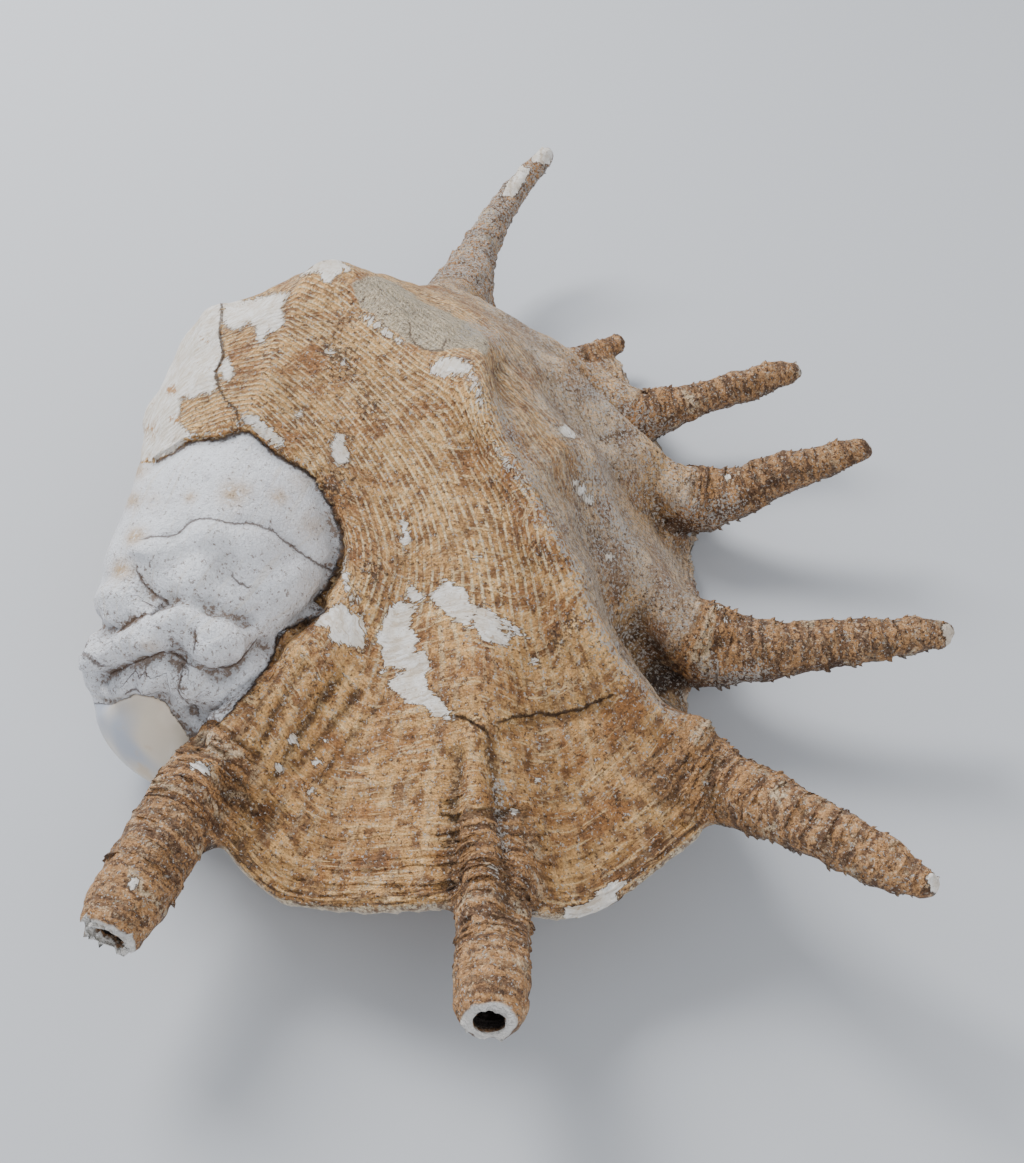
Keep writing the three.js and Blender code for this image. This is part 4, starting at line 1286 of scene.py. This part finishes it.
class Nodes:
    """Short calls for building a node tree."""

    def __init__(self, name):
        self.material = bpy.data.materials.new(name)
        self.material.use_nodes = True
        self.tree = self.material.node_tree
        self.tree.nodes.clear()

    def put(self, value, socket):
        if isinstance(value, bpy.types.NodeSocket):
            self.tree.links.new(value, socket)
        else:
            socket.default_value = value

    def node(self, kind, inputs=None, **settings):
        made = self.tree.nodes.new(kind)
        for key, value in settings.items():
            setattr(made, key, value)
        for key, value in (inputs or {}).items():
            self.put(value, made.inputs[key])
        return made

    def field(self, name):
        return self.node("ShaderNodeAttribute", attribute_name=name).outputs["Fac"]

    def math(self, operation, *values):
        return self.node("ShaderNodeMath", dict(enumerate(values)), operation=operation).outputs[0]

    def times(self, a, b):
        return self.math("MULTIPLY", a, b)

    def times_add(self, a, b, c):
        return self.math("MULTIPLY_ADD", a, b, c)

    def most(self, a, b):
        return self.math("MAXIMUM", a, b)

    def rest_of(self, share):
        return self.math("SUBTRACT", 1.0, share)

    def ramp(self, value, low, high, to_low=0.0, to_high=1.0):
        inputs = {"Value": value, "From Min": low, "From Max": high, "To Min": to_low, "To Max": to_high}
        return self.node("ShaderNodeMapRange", inputs, interpolation_type="SMOOTHSTEP").outputs["Result"]

    def mix(self, share, a, b):
        made = self.node("ShaderNodeMix", data_type="RGBA")
        self.put(share, made.inputs["Factor"])
        self.put(a, made.inputs[6])
        self.put(b, made.inputs[7])
        return made.outputs[2]

    def coat(self, under, colour, value, low, high, most=1.0):
        """A colour over another where a value runs from low to high."""
        return self.mix(self.ramp(value, low, high, 0.0, most), under, colour)

    def two_tones(self, at_low, at_high, value, low, high):
        return self.mix(self.ramp(value, low, high), at_low, at_high)

    def blend(self, share, a, b):
        made = self.node("ShaderNodeMix", data_type="FLOAT")
        self.put(share, made.inputs["Factor"])
        self.put(a, made.inputs[2])
        self.put(b, made.inputs[3])
        return made.outputs[0]

    def vector(self, x, y, z=0.0):
        return self.node("ShaderNodeCombineXYZ", {0: x, 1: y, 2: z}).outputs[0]

    def shade(self, colour, brightness):
        inputs = {0: colour, "Scale": brightness}
        return self.node("ShaderNodeVectorMath", inputs, operation="SCALE").outputs[0]

    def shifted(self, vector, distance):
        inputs = {0: vector, 1: (distance, distance, distance)}
        return self.node("ShaderNodeVectorMath", inputs, operation="ADD").outputs[0]

    def noise(self, vector, scale=1.0, detail=3.0, roughness=0.55):
        inputs = {"Vector": vector, "Scale": scale, "Detail": detail, "Roughness": roughness}
        return self.node("ShaderNodeTexNoise", inputs).outputs["Fac"]


class ShellFinish(Nodes):
    """The shell's colour, roughness and heights, from its fields and a few shared noises."""

    def __init__(self):
        super().__init__("worn_shell")
        place = self.node("ShaderNodeTexCoord").outputs["Object"]
        mm = self.shade(place, 1 / MM)
        self.cord, self.grow, self.digit = (self.field(name) for name in ("cord", "grow", "digit"))
        self.to_tip, self.ratio = self.field("to_tip"), self.field("ratio")
        self.hollow, self.crevice = self.field("hollow"), self.field("crevice")
        self.broad = self.noise(mm, 0.03, 2.0, 0.6)
        self.patchy = self.noise(mm, 0.1, 3.0, 0.65)
        self.middle = self.noise(mm, 0.26, 3.0, 0.7)
        self.small = self.noise(mm, 0.75, 3.0, 0.75)
        self.grain = self.noise(mm, 2.1, 2.0, 0.7)
        self.pits = self.noise(self.shifted(mm, 23.0), 0.9, 3.0, 0.75)
        self.dust = self.noise(self.shifted(mm, 41.0), 1.25, 2.0, 0.75)
        self.wobble = self.noise(mm, 0.09, 1.0, 0.5)
        self.near_edge = self.ramp(self.grow, 70.0, 45.0)
        self.flow_noises()

    def flow_noises(self):
        """Spiral cords, and lines that run parallel to the lip's edge."""
        turn = self.times_add(self.cord, 2 * math.pi * CORDS_PER_INDEX, self.times(self.wobble, 4.0))
        self.cords = self.math("COSINE", turn)
        wobble = self.times(self.wobble, 2.0)
        line_place = self.vector(self.times(self.grow, 0.95), self.times(self.cord, 2.2), wobble)
        self.lines = self.noise(line_place, detail=3.0, roughness=0.7)
        fine_place = self.vector(self.times(self.grow, 2.6), self.times(self.cord, 6.0))
        self.fine_lines = self.noise(fine_place, detail=2.0, roughness=0.6)
        band_place = self.vector(self.times(self.grow, 0.13), self.times(self.cord, 0.55))
        self.bands = self.noise(band_place, detail=2.0, roughness=0.5)
        streak_place = self.vector(self.times(self.grow, 0.07), self.times(self.cord, 10.0), self.wobble)
        self.streaks = self.noise(streak_place, detail=2.0, roughness=0.65)
        # The slope beyond the crest
        slope_cord = self.times_add(self.patchy, 0.9, self.cord)
        slope_reach = self.times_add(self.patchy, 90.0, self.grow)
        self.slope = self.times(self.ramp(slope_cord, 5.35, 5.85), self.ramp(slope_reach, 150.0, 112.0))

    def tan_skin(self):
        """Orange-tan to brown, with pale cords, a greyer slope, the facet and the lip's layered edge."""
        tan = self.two_tones(TAN_LIGHT, TAN_DEEP, self.patchy, 0.38, 0.62)
        tan = self.coat(tan, BAND_GOLD, self.bands, 0.42, 0.6, 0.6)
        tan = self.coat(tan, BLOTCH_BROWN, self.middle, 0.48, 0.62, 0.85)
        tan = self.coat(tan, STREAK_BROWN, self.streaks, 0.5, 0.68, 0.6)
        tan = self.coat(tan, LINE_BROWN, self.lines, 0.5, 0.68, 0.55)
        tan = self.coat(tan, LINE_PALE, self.lines, 0.46, 0.34, 0.65)
        cord_places = self.times(self.ramp(self.cords, 0.2, 0.9), self.ramp(self.patchy, 0.68, 0.48))
        far_cords = self.times(cord_places, self.blend(self.near_edge, 0.85, 0.2))
        tan = self.mix(self.times(far_cords, self.ramp(self.small, 0.62, 0.45)), tan, CORD_PALE)

        grey = self.two_tones(SLOPE_LIGHT, SLOPE_DEEP, self.patchy, 0.4, 0.6)
        grey = self.coat(grey, SLOPE_LINE, self.lines, 0.48, 0.64, 0.6)
        tan = self.mix(self.times(self.slope, self.ramp(self.broad, 0.62, 0.4, 0.25, 0.8)), tan, grey)

        facet_edge = self.times_add(self.math("SUBTRACT", self.middle, 0.5), 3.0, self.field("facet"))
        facet = self.two_tones(FACET_LIGHT, FACET_DEEP, self.fine_lines, 0.4, 0.62)
        tan = self.coat(tan, facet, facet_edge, -0.4, 0.4, 0.85)

        layers = self.times(self.ramp(self.grow, 9.0, 1.0), self.ramp(self.lines, 0.46, 0.56))
        tan = self.mix(self.times(layers, 0.8), tan, LAYER_DARK)
        rim = self.two_tones(RIM_LIGHT, RIM_DEEP, self.small, 0.42, 0.58)
        return self.mix(self.ramp(self.times_add(self.small, 1.6, self.grow), 1.7, 0.7), tan, rim)

    def digit_skin(self):
        """Darker, with rings of flaky skin, pale bands, pale tips and painted shade on the low side."""
        low_side = self.field("low_side")
        along = self.times_add(self.middle, 3.0, self.times(self.to_tip, 0.62))
        ring_place = self.vector(along, self.times(self.small, 2.0), self.times(low_side, 0.8))
        self.rings = self.noise(ring_place, detail=2.0, roughness=0.7)
        skin = self.two_tones(RING_DARK, RING_LIGHT, self.rings, 0.4, 0.6)
        skin = self.coat(skin, DIGIT_BLOTCH, self.middle, 0.54, 0.68, 0.7)
        skin = self.coat(skin, DIGIT_PALE, self.small, 0.44, 0.32, 0.7)
        band_place = self.vector(self.times(self.to_tip, 0.14), self.times(self.broad, 6.0))
        bands = self.ramp(self.noise(band_place, detail=1.0, roughness=0.5), 0.58, 0.68, 0.0, 0.8)
        skin = self.mix(self.times(bands, self.ramp(self.small, 0.6, 0.45)), skin, DIGIT_BAND)
        tips = self.ramp(self.times_add(self.middle, 6.0, self.to_tip), 2.2, 1.2)
        skin = self.mix(tips, skin, DIGIT_TIP)
        # Painted shade on the low side of each digit
        self.low = self.times(self.ramp(low_side, 0.0, 0.8), self.digit)
        return self.mix(self.times(self.low, 0.75), skin, UNDERSIDE_SHADE)

    def weather_and_shade(self, skin):
        """Painted shade in hollows, crevices and grooves and under the digits, a painted lighter tone on
        raised spots, brown specks, pale crust.
        """
        # Painted shade along the grooves and under the digits
        groove_shade = self.ramp(self.times_add(self.field("groove_shade"), 0.3, self.small), 0.58, 0.84, 0.0, 0.75)
        skin = self.mix(groove_shade, skin, GROOVE_SHADE)
        # Painted shade in small hollows and wide crevices, and a painted lighter tone on raised spots
        skin = self.shade(skin, self.ramp(self.hollow, -0.12, 0.3, 1.12, 0.72))
        skin = self.shade(skin, self.ramp(self.crevice, 0.2, 2.4, 1.0, 0.8))
        brown = self.times_add(self.field("brown"), 0.16, self.times(self.slope, 0.03))
        dark_pits = self.ramp(self.math("ADD", brown, self.pits), 0.56, 0.65, 0.0, 0.85)
        skin = self.mix(dark_pits, skin, PIT_BROWN)
        skin_slope = self.times(self.slope, self.rest_of(self.digit))
        crust_place = self.most(self.field("crust"), self.times(skin_slope, 0.6))
        crust_place = self.most(crust_place, self.times(self.low, 0.45))
        crust_place = self.most(crust_place, self.times(self.near_edge, 0.1))
        crust = self.ramp(self.times_add(crust_place, 0.14, self.dust), 0.6, 0.69, 0.0, 0.85)
        crust_skin = self.two_tones(CRUST_LIGHT, CRUST_DEEP, self.grain, 0.4, 0.6)
        skin = self.mix(crust, skin, crust_skin)
        skin = self.shade(skin, self.ramp(self.grain, 0.32, 0.68, 0.72, 1.24))
        return self.shade(skin, self.ramp(self.fine_lines, 0.34, 0.66, 1.08, 0.9))

    def wear(self, skin):
        """Chalk-white worn patches: a thin darker outline, faint brown flow lines inside."""
        ragged = self.times_add(self.small, 2.4, self.times_add(self.lines, 4.6, -3.5))
        edge = self.math("ADD", self.field("worn"), ragged)
        self.worn = self.ramp(edge, -0.08, 0.08)
        outline = self.times(self.ramp(edge, -0.55, -0.15), self.ramp(edge, 0.1, 0.0))
        chalk = self.two_tones(CHALK, CHALK_WARM, self.middle, 0.36, 0.66)
        chalk = self.coat(chalk, CHALK_LINE, self.lines, 0.5, 0.64, 0.6)
        chalk = self.coat(chalk, CHALK_SPECK, self.small, 0.6, 0.68, 0.6)
        self.stain = self.field("stain")
        stained = self.ramp(self.times_add(self.stain, 0.3, self.small), 0.6, 0.72)
        chalk = self.mix(self.times(stained, self.ramp(self.stain, 0.1, 0.4)), chalk, CHALK_STAIN)
        skin = self.mix(self.times(outline, 0.75), skin, LAYER_DARK)
        return self.mix(self.worn, skin, chalk)

    def broken_ends(self, skin):
        """A white rim round the bore, and painted shade inside it."""
        ends = self.times(self.ramp(self.to_tip, 0.6, 0.1), self.ramp(self.ratio, 1.1, 0.9))
        skin = self.mix(self.times(ends, self.field("broken")), skin, WHITE_END)
        # Painted shade inside the bore
        bore_shade = self.times(self.ramp(self.ratio, 0.66, 0.5), self.ramp(self.to_tip, 0.6, 2.2))
        return self.mix(bore_shade, skin, BORE_SHADE)

    def spire_skin(self):
        """Chalk white with a slight painted blue reflection, smooth on the first whorl, lumpy and dirty
        toward the end, with painted shade in its crevices and hollows.
        """
        ring = self.field("ring")
        self.rough_end = self.ramp(ring, -50.0, -58.0)
        crusty = self.ramp(ring, -60.0, -70.0)
        line_place = self.vector(self.times(self.field("turn"), 0.25), self.times(ring, 0.04))
        lines = self.noise(line_place, detail=2.0, roughness=0.6)
        # Chalk white and grey, both with a painted blue reflection
        skin = self.two_tones(SPIRE_WHITE_BLUE_REFLECTION, SPIRE_GREY_BLUE_REFLECTION, self.broad, 0.35, 0.65)
        skin = self.coat(skin, SPIRE_LINE, lines, 0.52, 0.7, 0.35)
        skin = self.coat(skin, SPIRE_SHADE, self.middle, 0.54, 0.68, 0.5)
        skin = self.mix(self.times(self.stain, self.ramp(self.small, 0.3, 0.5)), skin, SPIRE_STAIN)
        # Painted shade in the spire's crevices and a painted lighter tone on its raised parts
        skin = self.shade(skin, self.ramp(self.crevice, -0.3, 1.2, 1.05, 0.7))
        # Painted shade in small hollows, mixed with the dirt lines and the crust toward the end
        hollow_shade = self.times(self.ramp(self.hollow, 0.12, 0.6), 0.14)
        dirt = self.times_add(crusty, 0.03, self.times_add(self.field("dirt"), 0.13, hollow_shade))
        self.dirt_and_shade = self.ramp(self.math("ADD", dirt, self.small), 0.6, 0.76, 0.0, 0.85)
        skin = self.mix(self.dirt_and_shade, skin, SPIRE_DIRT_AND_SHADE)
        specks = self.times_add(self.rough_end, 0.03, self.pits)
        skin = self.coat(skin, SPIRE_SPECK, specks, 0.6, 0.68, 0.75)
        return self.shade(skin, self.ramp(self.grain, 0.3, 0.7, 0.88, 1.06))

    def glossy_skins(self):
        """The callus and the lining of the lip."""
        glaze = self.two_tones(GLAZE_WARM, GLAZE_BLUE, self.broad, 0.46, 0.62)
        glaze = self.coat(glaze, GLAZE_TAN, self.patchy, 0.52, 0.66, 0.5)
        lining = self.two_tones(LINING_EDGE, LINING_DEEP, self.grow, 8.0, 55.0)
        lining = self.coat(lining, LINING_PALE, self.broad, 0.45, 0.65, 0.5)
        return glaze, lining

    def line_share(self, name, width, core):
        """Share of a dark line at a signed distance of nothing."""
        jitter = self.times_add(self.small, 1.6, -0.8)
        gap = self.math("ABSOLUTE", self.math("ADD", self.field(name), jitter))
        return self.times(self.ramp(gap, width, core), self.field(name + "_share"))

    def heights(self):
        """Heights in mm for the bump."""
        skin = self.times(self.cords, self.blend(self.near_edge, 0.2, 0.06))
        skin = self.times_add(self.lines, -0.7, skin)
        skin = self.times_add(self.grain, 0.7, skin)
        skin = self.times_add(self.small, 0.9, skin)
        ring = self.times_add(self.rings, 1.7, self.times(self.small, 1.2))
        skin = self.blend(self.digit, skin, self.times_add(self.grain, 0.7, ring))
        skin = self.blend(self.worn, skin, self.times_add(skin, 0.35, -0.3))
        spire = self.times_add(self.grain, 0.5, self.times(self.small, 0.9))
        spire = self.times_add(self.times(self.middle, self.rough_end), 1.6, spire)
        spire = self.times_add(self.dirt_and_shade, -0.3, spire)
        return self.blend(self.spire, skin, spire)

    def build(self):
        skin = self.mix(self.times(self.digit, 0.9), self.tan_skin(), self.digit_skin())
        skin = self.broken_ends(self.wear(self.weather_and_shade(skin)))
        spire_skin = self.spire_skin()
        glaze, lining = self.glossy_skins()
        spire_edge = self.times_add(self.math("SUBTRACT", self.small, 0.5), 1.6, self.field("spire"))
        self.spire = self.ramp(spire_edge, -0.12, 0.12)
        callus = self.ramp(self.field("callus"), -0.4, 0.4)
        inner = self.field("inner")
        colour = self.mix(inner, skin, lining)
        colour = self.mix(callus, colour, glaze)
        colour = self.mix(self.spire, colour, spire_skin)
        seam = self.line_share("seam", 0.55, 0.1)
        crack = self.line_share("crack", 0.38, 0.08)
        colour = self.mix(self.times(seam, 0.85), colour, SEAM_DARK)
        colour = self.mix(self.times(crack, 0.75), colour, CRACK_DARK)

        glossy = self.times(self.most(inner, callus), self.rest_of(self.spire))
        rough = self.blend(glossy, self.blend(self.worn, 0.66, 0.8), 0.24)
        rough = self.blend(self.spire, rough, 0.82)
        height = self.times(self.heights(), self.rest_of(glossy))
        height = self.times_add(seam, -0.5, height)
        height = self.times_add(crack, -0.35, height)
        bump = self.node("ShaderNodeBump", {"Strength": 1.0, "Distance": MM, "Height": height})
        shader = self.node("ShaderNodeBsdfPrincipled", {
            "Base Color": colour, "Roughness": rough, "Normal": bump.outputs[0], "Specular IOR Level": 0.3,
        })
        self.node("ShaderNodeOutputMaterial", {"Surface": shader.outputs[0]})
        return self.material


def dress(piece, material):
    piece.data.materials.clear()
    piece.data.materials.append(material)
    for polygon in piece.data.polygons:
        polygon.use_smooth = True
    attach(piece, "root")


piece, surface, fields = build_surface()
for field_name, values in fields.items():
    store_field(piece.data, field_name, values)
material = ShellFinish().build()
dress(piece, material)
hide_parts("shell")

skin_faces = surface.tree()
skin_places = tree_of(surface.points)
rng = np.random.default_rng(11)
for strips in (digit_lamellae(skin_faces, rng), lip_layers(outer_grid(), skin_faces), ledges(skin_faces)):
    dress(strips.finish(skin_places, fields), material)


# Floor, light and camera

FLOOR_SIZE = 6.0
FLOOR_ROUGHNESS = 0.8
SKY_STRENGTH = 0.7
CLIP_NEAR = 0.01
CLIP_FAR = 20
# Lights: name, place and size in m, power in W
LIGHTS = [
    ("key_light", (-0.85, 0.3, 0.95), 0.6, 19),
    ("front_light", (0.9, -0.9, 1.0), 1.2, 9),
]


def add_floor():
    bpy.ops.mesh.primitive_plane_add(size=FLOOR_SIZE, location=(0, 0, 0))
    floor = bpy.context.object
    floor.name = "floor"
    nodes = Nodes("pale_floor")
    shader = nodes.node("ShaderNodeBsdfPrincipled", {"Base Color": FLOOR_PALE, "Roughness": FLOOR_ROUGHNESS})
    nodes.node("ShaderNodeOutputMaterial", {"Surface": shader.outputs[0]})
    floor.data.materials.append(nodes.material)


def add_light(name, place, size, power):
    data = bpy.data.lights.new(name, "AREA")
    data.size = size
    data.energy = power
    light = bpy.data.objects.new(name, data)
    light.location = place
    light.rotation_mode = "QUATERNION"
    light.rotation_quaternion = (-Vector(place)).to_track_quat("-Z", "Y")
    bpy.context.scene.collection.objects.link(light)


def add_camera():
    data = bpy.data.cameras.new("photo_camera")
    data.sensor_width = SENSOR
    data.lens = FOCAL_PIXELS * SENSOR / PHOTO_HEIGHT
    data.clip_start = CLIP_NEAR
    data.clip_end = CLIP_FAR
    camera = bpy.data.objects.new("photo_camera", data)
    camera.location = CAMERA_PLACE * MM
    camera.rotation_mode = "QUATERNION"
    camera.rotation_quaternion = Vector(CAMERA_FORWARD).to_track_quat("-Z", "Y")
    bpy.context.scene.collection.objects.link(camera)
    bpy.context.scene.camera = camera


def add_sky():
    world = bpy.data.worlds.new("soft_room")
    world.use_nodes = True
    background = world.node_tree.nodes["Background"]
    background.inputs["Color"].default_value = SKY_PALE
    background.inputs["Strength"].default_value = SKY_STRENGTH
    bpy.context.scene.world = world


add_floor()
for light in LIGHTS:
    add_light(*light)
add_sky()
add_camera()
